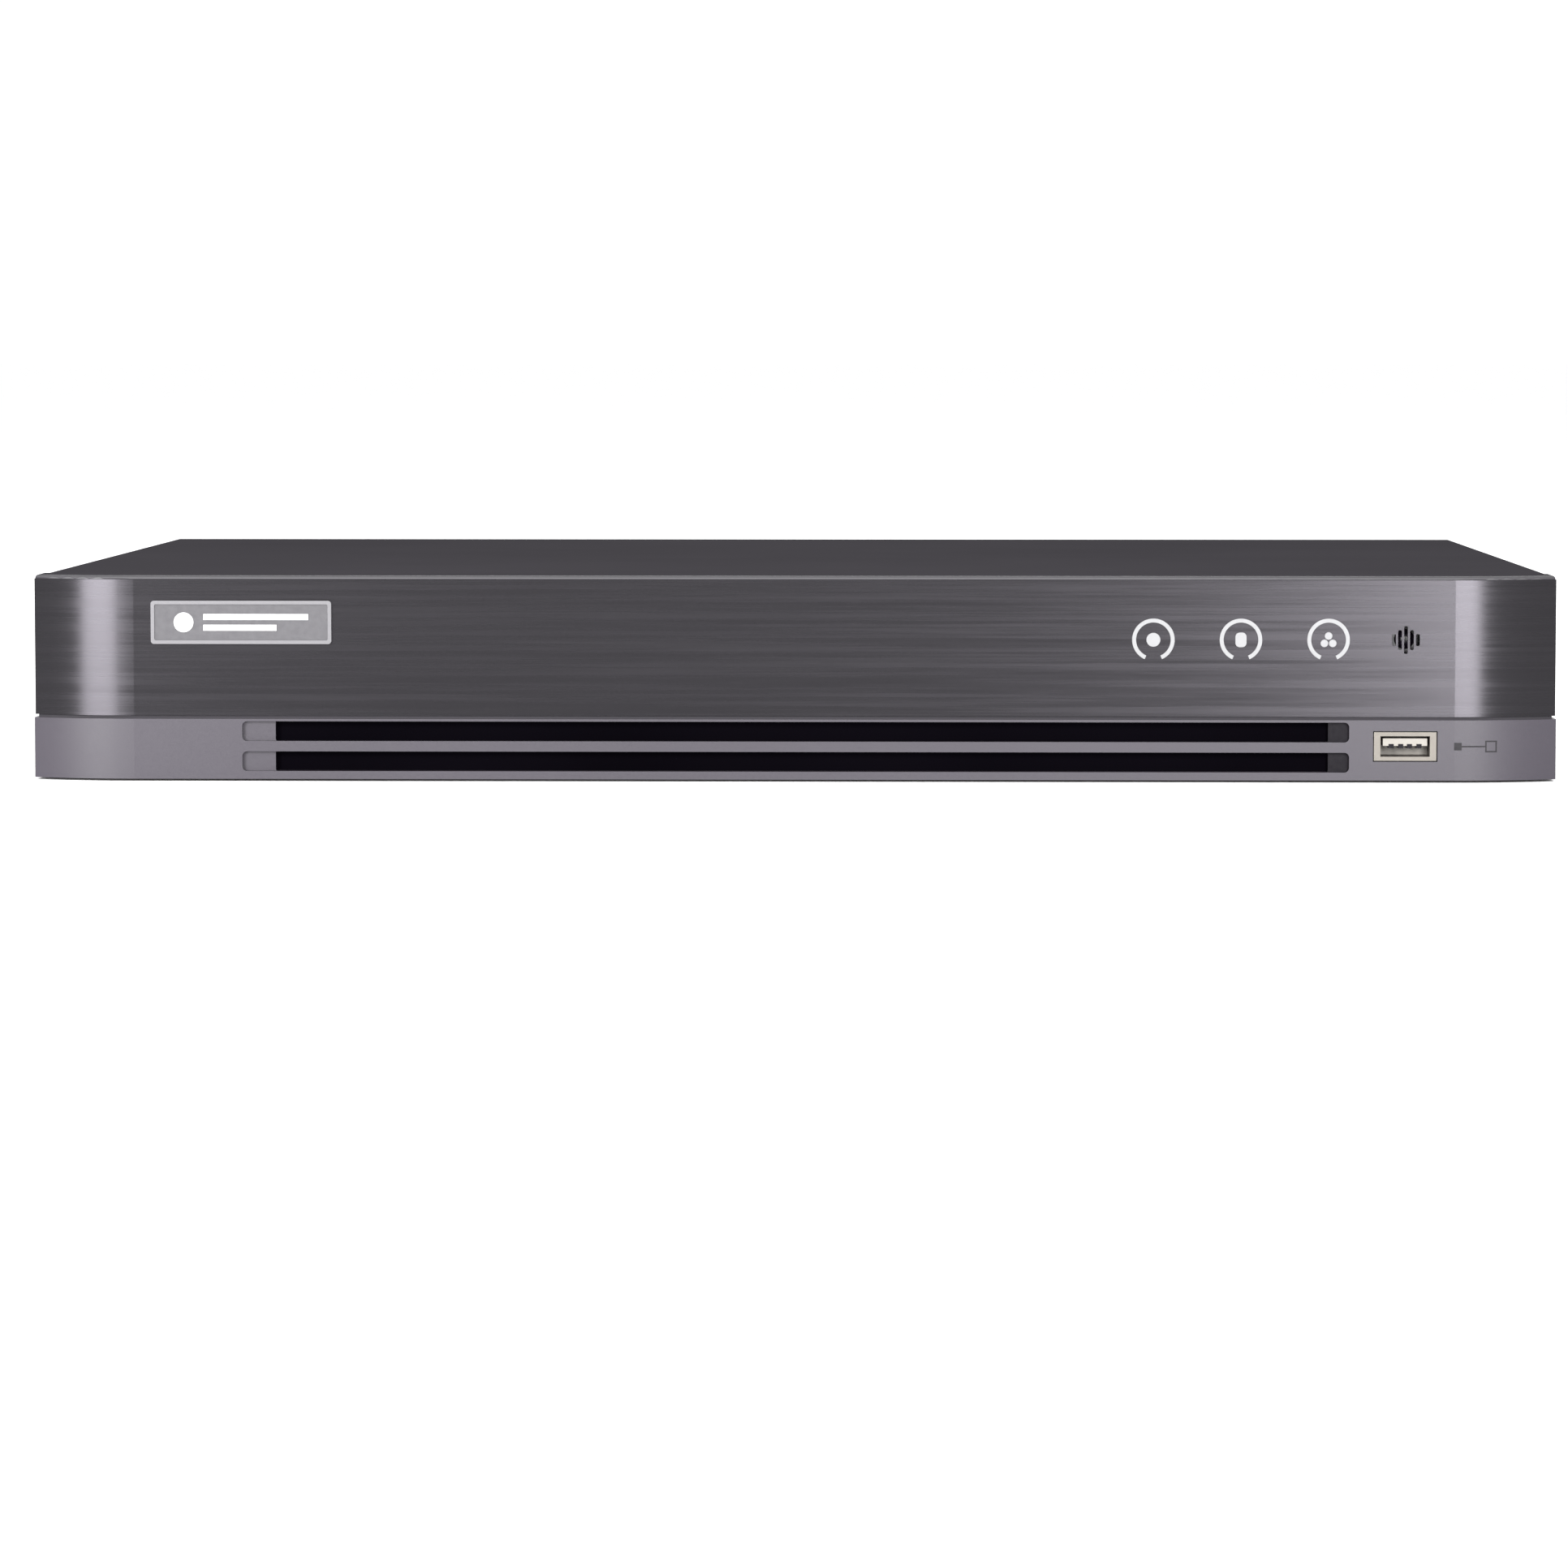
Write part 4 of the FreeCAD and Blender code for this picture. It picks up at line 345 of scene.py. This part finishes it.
# ---------------------------------------------------------------- soft edges on the CAD pieces
WELD_WITHIN = 0.002 * MM
SHARP_ANGLE = math.radians(35.0)
LEVER_EDGE = 0.12
SOFT_EDGES = {
    "top_cover": 0.4,
    "switch_frame": 0.35,
    "power_rocker": 0.3,
    "alarm_terminal": 0.15,
    "bus_terminal": 0.15,
    "bnc_shells": 0.15,
    "rca_shells": 0.12,
    "monitor_socket_shell": 0.1,
    "display_socket_shell": 0.1,
    "rear_usb_shell": 0.1,
    "front_usb_shell": 0.1,
    "front_usb_tongue": 0.1,
    "rear_usb_tongue": 0.1,
    "badge_plate": 0.12,
    "lan_shell": 0.1,
}


def soften(node, width):
    """A narrow round on a CAD node's sharp edges, inside its own outline; the width is in millimetres."""
    piece = nodes[node]
    weld = piece.modifiers.new("weld", "WELD")
    weld.merge_threshold = WELD_WITHIN
    bevel = piece.modifiers.new("bevel", "BEVEL")
    bevel.width = width * MM
    bevel.segments = 2
    bevel.limit_method = "ANGLE"
    bevel.angle_limit = SHARP_ANGLE


for name, width in SOFT_EDGES.items():
    soften(name, width)
for name in nodes:
    if "_lever_" in name:
        soften(name, LEVER_EDGE)


# ---------------------------------------------------------------- pieces made here
def piece_from(name, bm, material, body=ROOT):
    """Turns a bmesh into an object that rides on a body."""
    mesh = bpy.data.meshes.new(name)
    bmesh.ops.recalc_face_normals(bm, faces=bm.faces)
    bm.to_mesh(mesh)
    bm.free()
    mesh.materials.append(material)
    made = bpy.data.objects.new(name, mesh)
    bpy.context.scene.collection.objects.link(made)
    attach(made, body)


def add_block(bm, low, high):
    """A box between two corners."""
    low = Vector(low)
    high = Vector(high)
    matrix = Matrix.Translation((low + high) / 2) @ Matrix.Diagonal((*(high - low), 1.0))
    bmesh.ops.create_cube(bm, size=1.0, matrix=matrix)


def add_disc(bm, at, radius, high, axis, sides):
    """A cylinder that starts at a point and runs along a direction."""
    turn = Vector((0, 0, 1)).rotation_difference(Vector(axis)).to_matrix().to_4x4()
    matrix = Matrix.Translation(Vector(at)) @ turn @ Matrix.Translation((0, 0, high / 2))
    bmesh.ops.create_cone(
        bm, cap_ends=True, segments=sides, radius1=radius, radius2=radius, depth=high, matrix=matrix
    )


# ---------------------------------------------------------------- print on the rear panel
# places and sizes on the panel are in millimetres; REAR_Y, PRINT_THICK and boxes are in metres
REAR_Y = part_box("chassis_pan")[1].y
PRINT_THICK = 0.05 * MM
NUMBER_TO_SIZE = 1.4
NUMBER_WEIGHT = 0.035
WORD_GAP = 0.8
LOW_LABELS = 6.0
SOCKET_LABELS = 5.4
VIDEO_LOW, VIDEO_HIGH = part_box("bnc_shells")
VIDEO_HALF = 6.4
VIDEO_PITCH = 16.9
VIDEO_FIRST = VIDEO_HIGH.x / MM - VIDEO_HALF
VIDEO_OUT = VIDEO_LOW.x / MM + VIDEO_HALF
VIDEO_COLUMNS = 4
VIDEO_LINE_RIGHT = 6.6
VIDEO_LINE_LEFT = 9.3
VIDEO_LINE_LEVELS = (8.5, 38.6)
VIDEO_NUMBER_LEVELS = (26.7, 23.3)
FINE_LINE = 0.3
AUDIO_HALF = 5.2
AUDIO_PITCH = 15.05
ALARM_WAYS = 18
ALARM_PITCH = 2.54
ALARM_NUMBERS = 8.7
ALARM_GROUP_OUT = 16
ALARM_LINE_OUT = 9
BUS_MARKS = 8.6
BUS_LABEL = 5.2
EARTH_X = -181.4
EARTH_Z = 6.3
EARTH_STEP = 0.65
SOCKET_WORDS = {
    "rear_usb_shell": (4.2,),
    "display_socket_shell": (8.6,),
    "monitor_socket_shell": (5.2,),
    "lan_shell": (5.0,),
    "dc_jack": (4.4, 2.6),
}


def print_bar(bm, x, z, wide, tall):
    """A printed bar on the rear panel, given by its middle."""
    low = (x * MM - wide * MM / 2, REAR_Y, z * MM - tall * MM / 2)
    high = (x * MM + wide * MM / 2, REAR_Y + PRINT_THICK, z * MM + tall * MM / 2)
    add_block(bm, low, high)


def print_frame(bm, left, right, low, high, line):
    """A printed rectangle of thin lines."""
    print_bar(bm, (left + right) / 2, low, right - left + line, line)
    print_bar(bm, (left + right) / 2, high, right - left + line, line)
    print_bar(bm, left, (low + high) / 2, line, high - low - line)
    print_bar(bm, right, (low + high) / 2, line, high - low - line)


def print_words(bm, x, z, lengths, tall=1.5):
    """Short bars in a row in place of a label."""
    start = x + (sum(lengths) + WORD_GAP * (len(lengths) - 1)) / 2
    for length in lengths:
        print_bar(bm, start - length / 2, z, length, tall)
        start -= length + WORD_GAP


def print_number(bm, number, x, z, tall):
    """A number on the rear panel, read from behind, given by its middle."""
    curve = bpy.data.curves.new("number", "FONT")
    curve.body = str(number)
    curve.align_x = "CENTER"
    curve.align_y = "CENTER"
    curve.size = tall * MM * NUMBER_TO_SIZE
    curve.extrude = PRINT_THICK / 2
    curve.offset = tall * NUMBER_WEIGHT * MM
    carrier = bpy.data.objects.new("number", curve)
    mesh = bpy.data.meshes.new_from_object(carrier)
    place = Matrix.Translation((x * MM, REAR_Y + PRINT_THICK / 2, z * MM))
    faced = Matrix.Rotation(math.pi, 4, "Z")
    upright = Matrix.Rotation(math.pi / 2, 4, "X")
    mesh.transform(place @ faced @ upright)
    bm.from_mesh(mesh)
    bpy.data.objects.remove(carrier)
    bpy.data.curves.remove(curve)
    bpy.data.meshes.remove(mesh)


def print_video(bm):
    """The line round the video inputs, their numbers, and bars for the names of inputs and output."""
    right = VIDEO_FIRST + VIDEO_LINE_RIGHT
    left = VIDEO_FIRST - (VIDEO_COLUMNS - 1) * VIDEO_PITCH - VIDEO_LINE_LEFT
    print_frame(bm, left, right, *VIDEO_LINE_LEVELS, FINE_LINE)
    for row, level in enumerate(VIDEO_NUMBER_LEVELS):
        for column in range(VIDEO_COLUMNS):
            x = VIDEO_FIRST - (column + 0.5) * VIDEO_PITCH
            print_number(bm, 1 + 2 * column + row, x, level, tall=2.6)
    print_words(bm, VIDEO_FIRST - 1.5 * VIDEO_PITCH, LOW_LABELS, (5.2, 3.0))
    print_words(bm, VIDEO_OUT, 24.4, (4.8,), tall=1.1)
    print_words(bm, VIDEO_OUT, 22.6, (3.4,), tall=1.1)


def print_sockets(bm):
    """Bars under the data, picture, monitor, network and power sockets."""
    for node, lengths in SOCKET_WORDS.items():
        print_words(bm, middle(node).x / MM, SOCKET_LABELS, lengths)


def print_audio(bm):
    """Bars under and over the phono jacks, and the numbers of the outputs."""
    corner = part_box("rca_shells")[1]
    x = corner.x / MM - AUDIO_HALF
    z = corner.z / MM - AUDIO_HALF
    print_words(bm, x, SOCKET_LABELS, (6.0, 4.6))
    print_words(bm, x - 1.5 * AUDIO_PITCH, z + 8.2, (5.0, 2.6), tall=1.2)
    for place, column in enumerate((0, 2)):
        print_number(bm, place + 1, x - (column + 0.5) * AUDIO_PITCH, z + 5.4, tall=2.2)


def print_bus_and_switch(bm):
    """Bars under the bus terminal and beside the power switch."""
    bus = middle("bus_terminal").x / MM
    print_words(bm, bus, BUS_MARKS, (2.0, 2.0), tall=1.6)
    print_words(bm, bus, BUS_LABEL, (6.4,), tall=1.2)
    switch_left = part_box("switch_frame")[0].x / MM
    print_words(bm, switch_left - 8, middle("switch_frame").z / MM, (8.6,))


def print_alarm(bm):
    """The numbers of the alarm ways, over bars and lines that group them."""
    centre = middle("alarm_terminal").x / MM
    for way in range(ALARM_WAYS):
        x = centre + ((ALARM_WAYS - 1) / 2 - way) * ALARM_PITCH
        print_number(bm, way + 1, x, ALARM_NUMBERS, tall=1.5)
    for side in (-1, 1):
        print_words(bm, centre + side * ALARM_GROUP_OUT, LOW_LABELS, (5.0,), tall=1.3)
        print_bar(bm, centre + side * ALARM_LINE_OUT, LOW_LABELS, 7.0, 0.25)
    print_words(bm, centre, LOW_LABELS, (8.6,), tall=1.3)


def print_earth(bm):
    """The sign for earth: an upright over three bars, each shorter than the last."""
    print_bar(bm, EARTH_X, EARTH_Z + 1.0, FINE_LINE, 1.6)
    for step, wide in enumerate((3.0, 2.0, 1.0)):
        print_bar(bm, EARTH_X, EARTH_Z - step * EARTH_STEP, wide, FINE_LINE)


def build_rear_print():
    bm = bmesh.new()
    print_video(bm)
    print_sockets(bm)
    print_audio(bm)
    print_bus_and_switch(bm)
    print_alarm(bm)
    print_earth(bm)
    piece_from("rear_print", bm, DARK_PRINT)


# ---------------------------------------------------------------- marks on the front
PLAN_RADIUS = 60.0
FLAT_HALF = 166.5
MARK_RIGHT_OF_PORT = 17.2
MARK_HALF_THICK = 0.03
MARK_LINE = 0.35
MARK_SQUARE = 1.9
MARK_OUTLINE_HALF = 1.3
BADGE_DOT_LEFT = 14.5
BADGE_DOT_RADIUS = 2.5
BADGE_BAR_LEFT = -9.5
BADGE_BAR_RIGHTS = (17.0, 9.0)
BADGE_BAR_PITCH = 2.7
BADGE_BAR_HALF = 0.75
BADGE_PRINT_THICK = 0.3 * MM
PRISM_FACES = ((0, 1, 2, 3), (4, 5, 6, 7), (0, 1, 5, 4), (1, 2, 6, 5), (2, 3, 7, 6), (3, 0, 4, 7))


def front_at(x):
    """Y of the lower band's surface at an X, both in millimetres."""
    out = max(0.0, abs(x) - FLAT_HALF)
    return FRONT_Y / MM + PLAN_RADIUS - math.sqrt(PLAN_RADIUS**2 - out**2)


def band_step(bm, left, right, low, high):
    """A thin plate half sunk into the lower band between two X and two Z, in millimetres."""
    corners = []
    for inward in (MARK_HALF_THICK, -MARK_HALF_THICK):
        for x, z in ((left, low), (right, low), (right, high), (left, high)):
            corners.append(bm.verts.new((x * MM, (front_at(x) + inward) * MM, z * MM)))
    for face in PRISM_FACES:
        bm.faces.new([corners[index] for index in face])


def band_bar(bm, x, z, wide, tall):
    """A printed bar that follows the lower band's curve in short steps, in millimetres."""
    steps = max(1, round(wide))
    for step in range(steps):
        left = x - wide / 2 + wide * step / steps
        band_step(bm, left, left + wide / steps, z - tall / 2, z + tall / 2)


def build_front_mark():
    """A filled square joined by a line to an outlined one, beside the front socket."""
    port = middle("front_usb_shell")
    x = port.x / MM + MARK_RIGHT_OF_PORT
    z = port.z / MM
    outline_x = x + 4.4
    bm = bmesh.new()
    band_bar(bm, x, z, 6.0, MARK_LINE)
    band_bar(bm, x - 4.0, z, MARK_SQUARE, MARK_SQUARE)
    for level in (-1, 1):
        band_bar(bm, outline_x, z + level * MARK_OUTLINE_HALF, 3.0, MARK_LINE)
    for side in (-1, 1):
        band_bar(bm, outline_x + side * MARK_OUTLINE_HALF, z, MARK_LINE, 2.6)
    piece_from("front_port_mark", bm, GREY_PRINT)


def build_badge_mark():
    """A dot and two plain bars on the badge's sunk face."""
    centre = middle("badge_plate")
    low_y = BADGE_FRONT + 0.05 * MM
    high_y = low_y + BADGE_PRINT_THICK
    dot = (centre.x - BADGE_DOT_LEFT * MM, high_y, centre.z)
    bm = bmesh.new()
    add_disc(bm, dot, BADGE_DOT_RADIUS * MM, BADGE_PRINT_THICK, (0, -1, 0), 48)
    for row, right in enumerate(BADGE_BAR_RIGHTS):
        level = centre.z + (0.5 - row) * BADGE_BAR_PITCH * MM
        low = (centre.x + BADGE_BAR_LEFT * MM, low_y, level - BADGE_BAR_HALF * MM)
        high = (centre.x + right * MM, high_y, level + BADGE_BAR_HALF * MM)
        add_block(bm, low, high)
    piece_from("badge_mark", bm, WHITE_PRINT)


# ---------------------------------------------------------------- contacts in the sockets
# sizes are in millimetres, and levels are heights above the standing surface
USB_OFFSETS = (-3.5, -1.1, 1.1, 3.5)
REAR_USB_LEVEL = 15.8
DISPLAY_CONTACT_HALF = 0.25
DISPLAY_CONTACT_THICK = 0.06
DISPLAY_BLADE_TOP = 15.85
DISPLAY_BLADE_THICK = 1.5
NETWORK_CONTACTS = 8
NETWORK_PITCH = 1.02
NETWORK_TOP = 22.6
NETWORK_WIRE_RADIUS = 0.22
NETWORK_WIRE_START = (2, 0.15)
NETWORK_WIRE_STOP = (10, 3.6)


def add_contact(bm, x, half, depths, levels):
    """A flat contact about an X, between two depths and two levels; all but half are in metres."""
    add_block(bm, (x - half * MM, depths[0], levels[0]), (x + half * MM, depths[1], levels[1]))


def build_front_usb_contacts():
    tongue_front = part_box("front_usb_tongue")[0].y
    level = middle("front_usb_shell").z + 0.1 * MM
    depths = (tongue_front - 0.05 * MM, tongue_front + 7 * MM)
    levels = (level - 0.55 * MM, level + 0.5 * MM)
    bm = bmesh.new()
    for offset in USB_OFFSETS:
        add_contact(bm, middle("front_usb_tongue").x + offset * MM, 0.65, depths, levels)
    # the contacts get the near-black painted shade of the port's depth, not a metal colour
    piece_from("front_usb_contacts", bm, PAINTED_RECESS_SHADE)


def build_rear_usb_contacts():
    tongue_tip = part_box("rear_usb_tongue")[1].y
    depths = (tongue_tip - 8 * MM, tongue_tip - 0.6 * MM)
    levels = ((REAR_USB_LEVEL - 0.25) * MM, (REAR_USB_LEVEL + 0.1) * MM)
    bm = bmesh.new()
    for offset in USB_OFFSETS:
        add_contact(bm, middle("rear_usb_tongue").x + offset * MM, 0.5, depths, levels)
    piece_from("rear_usb_contacts", bm, MATERIALS["contact_gold"])


def build_display_contacts():
    """Ten contacts on top of the picture socket's blade, and nine under it."""
    tongue_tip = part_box("display_socket_tongue")[1].y
    depths = (tongue_tip - 6 * MM, tongue_tip - 0.3 * MM)
    blade_low = DISPLAY_BLADE_TOP - DISPLAY_BLADE_THICK
    rows = (
        (10, DISPLAY_BLADE_TOP, DISPLAY_BLADE_TOP + DISPLAY_CONTACT_THICK),
        (9, blade_low - DISPLAY_CONTACT_THICK, blade_low),
    )
    bm = bmesh.new()
    for count, low, high in rows:
        for index in range(count):
            x = middle("display_socket_tongue").x + (index - (count - 1) / 2) * MM
            add_contact(bm, x, DISPLAY_CONTACT_HALF, depths, (low * MM, high * MM))
    piece_from("display_contacts", bm, MATERIALS["contact_gold"])


def network_point(x, place):
    """A point at an X, in metres; its place is how far in from the panel and under the ceiling it lies."""
    inward, down = place
    return Vector((x, REAR_Y - inward * MM, (NETWORK_TOP - down) * MM))


def build_network_contacts():
    """Eight wires that slope down into the network socket."""
    bm = bmesh.new()
    for index in range(NETWORK_CONTACTS):
        x = middle("lan_insert").x + (index - (NETWORK_CONTACTS - 1) / 2) * NETWORK_PITCH * MM
        start = network_point(x, NETWORK_WIRE_START)
        wire = network_point(x, NETWORK_WIRE_STOP) - start
        add_disc(bm, start, NETWORK_WIRE_RADIUS * MM, wire.length, wire, 8)
    piece_from("network_contacts", bm, MATERIALS["contact_gold"])


# ---------------------------------------------------------------- rocker dot and labels
ROCKER_REST = math.radians(-8)
ROCKER_PIVOT_IN = 1.4 * MM
ROCKER_FACE_RADIUS = 19.41 * MM
ROCKER_FACE_RISE = 21 * MM
DOT_ALONG = 5.0 * MM
DOT_SINK = 0.25 * MM
DOT_RADIUS = 0.95 * MM
DOT_THICK = 0.33 * MM
UNDERSIDE = 3.0 * MM
RATING_LEFT = -30 * MM
RATING_RIGHT = 30 * MM
RATING_FRONT = -60 * MM
RATING_BACK = -20 * MM
RATING_BARS = 5
RATING_BAR_LEFT = -24
RATING_BAR_FIRST = -26
RATING_BAR_PITCH = 5.6
RATING_BAR_HALF = 0.7 * MM
DISK_LABEL_INSET = 14 * MM


def build_rocker_dot():
    """A white dot on the pressed-in half of the rocker's hollow face."""
    switch = middle("switch_frame")
    pivot = Vector((switch.x, REAR_Y - ROCKER_PIVOT_IN, 0))
    lift = Vector((0, 0, switch.z - 1.6 * MM))
    reach = math.sqrt(ROCKER_FACE_RADIUS**2 - DOT_ALONG**2)
    turn = Matrix.Rotation(ROCKER_REST, 3, "Z")
    at = pivot + turn @ Vector((DOT_ALONG, ROCKER_FACE_RISE - reach - DOT_SINK, 0)) + lift
    bm = bmesh.new()
    add_disc(bm, at, DOT_RADIUS, DOT_THICK, turn @ Vector((-DOT_ALONG / reach, 1, 0)), 32)
    piece_from("rocker_dot", bm, WHITE_PRINT, "rocker")


def build_rating_label():
    """A label under the pan, with bars in place of its text."""
    bm = bmesh.new()
    low = (RATING_LEFT, RATING_FRONT, UNDERSIDE - 0.08 * MM)
    add_block(bm, low, (RATING_RIGHT, RATING_BACK, UNDERSIDE))
    piece_from("rating_label", bm, LABEL_PAPER)
    bm = bmesh.new()
    for row in range(RATING_BARS):
        level = (RATING_BAR_FIRST - row * RATING_BAR_PITCH) * MM
        right = (14 - 6 * (row % 3)) * MM
        low = (RATING_BAR_LEFT * MM, level - RATING_BAR_HALF, UNDERSIDE - 0.12 * MM)
        add_block(bm, low, (right, level + RATING_BAR_HALF, UNDERSIDE - 0.07 * MM))
    piece_from("rating_label_bars", bm, DARK_PRINT)


def build_disk_labels():
    """A label on each disk's top, in its shallow middle field."""
    for index in (1, 2):
        low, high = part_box(f"hard_disk_{index}")
        corner = (low.x + DISK_LABEL_INSET, low.y + 8 * MM, high.z - 0.85 * MM)
        far_corner = (high.x - DISK_LABEL_INSET, low.y + 38 * MM, high.z - 0.7 * MM)
        bm = bmesh.new()
        add_block(bm, corner, far_corner)
        piece_from(f"disk_label_{index}", bm, LABEL_PAPER)


build_rear_print()
build_front_mark()
build_badge_mark()
build_front_usb_contacts()
build_rear_usb_contacts()
build_display_contacts()
build_network_contacts()
build_rocker_dot()
build_rating_label()
build_disk_labels()

# ---------------------------------------------------------------- floor
FLOOR_HALF = 40.0
FLOOR_CORNERS = [
    (-FLOOR_HALF, -FLOOR_HALF, 0),
    (FLOOR_HALF, -FLOOR_HALF, 0),
    (FLOOR_HALF, FLOOR_HALF, 0),
    (-FLOOR_HALF, FLOOR_HALF, 0),
]
floor_mesh = bpy.data.meshes.new("floor")
floor_mesh.from_pydata(FLOOR_CORNERS, [], [(0, 1, 2, 3)])
floor = bpy.data.objects.new("floor", floor_mesh)
floor_mesh.materials.append(
    finish("floor_paint", (0.96, 0.96, 0.96), rough=0.8, spread=0.01, scale=30, relief=0.02)
)
bpy.context.scene.collection.objects.link(floor)

# ---------------------------------------------------------------- light
world = bpy.data.worlds.new("studio")
world.use_nodes = True
world.node_tree.nodes["Background"].inputs["Color"].default_value = (1.0, 1.0, 1.0, 1.0)
world.node_tree.nodes["Background"].inputs["Strength"].default_value = 1.04
bpy.context.scene.world = world
bpy.context.scene.view_settings.view_transform = "Standard"


def soft_light(name, target, azimuth, elevation, distance, wide, tall, power):
    """An area light aimed at a point. Azimuth 0 is in front of it, and positive is towards +X."""
    lamp = bpy.data.lights.new(name, "AREA")
    lamp.shape = "RECTANGLE"
    lamp.size = wide
    lamp.size_y = tall
    lamp.energy = power
    made = bpy.data.objects.new(name, lamp)
    turn = math.radians(azimuth)
    rise = math.radians(elevation)
    out = Vector((math.sin(turn) * math.cos(rise), -math.cos(turn) * math.cos(rise), math.sin(rise)))
    made.location = Vector(target) + out * distance
    made.rotation_mode = "QUATERNION"
    made.rotation_quaternion = out.to_track_quat("Z", "Y")
    bpy.context.scene.collection.objects.link(made)


soft_light(
    "left_box", (-0.17, -0.15, 0.03), azimuth=-25, elevation=14, distance=1.1, wide=0.36, tall=0.55, power=21
)
soft_light(
    "right_box", (0.17, -0.15, 0.03), azimuth=11.5, elevation=14, distance=2.0, wide=0.44, tall=1.0, power=56
)
soft_light(
    "top_box", (0, 0, 0), azimuth=10, elevation=72, distance=2.4, wide=2.4, tall=2.0, power=18
)
soft_light(
    "rear_box", (0, 0.14, 0.03), azimuth=175, elevation=35, distance=2.4, wide=2.2, tall=1.4, power=22
)

# ---------------------------------------------------------------- camera
CAMERA_BACK = 1.480
CAMERA_RIGHT = 0.0289
CAMERA_HIGH = 0.1089
CAMERA_DOWN = 4.226
CAMERA_LEFTWARDS = 1.205
camera_data = bpy.data.cameras.new("camera")
camera_data.sensor_width = 36.0
camera_data.lens = 135.1
camera_data.clip_start = 0.05
camera_data.clip_end = 60.0
camera = bpy.data.objects.new("camera", camera_data)
camera.location = (CAMERA_RIGHT, FRONT_Y - CAMERA_BACK, CAMERA_HIGH)
camera.rotation_euler = (math.radians(90 - CAMERA_DOWN), 0.0, math.radians(CAMERA_LEFTWARDS))
bpy.context.scene.collection.objects.link(camera)
bpy.context.scene.camera = camera
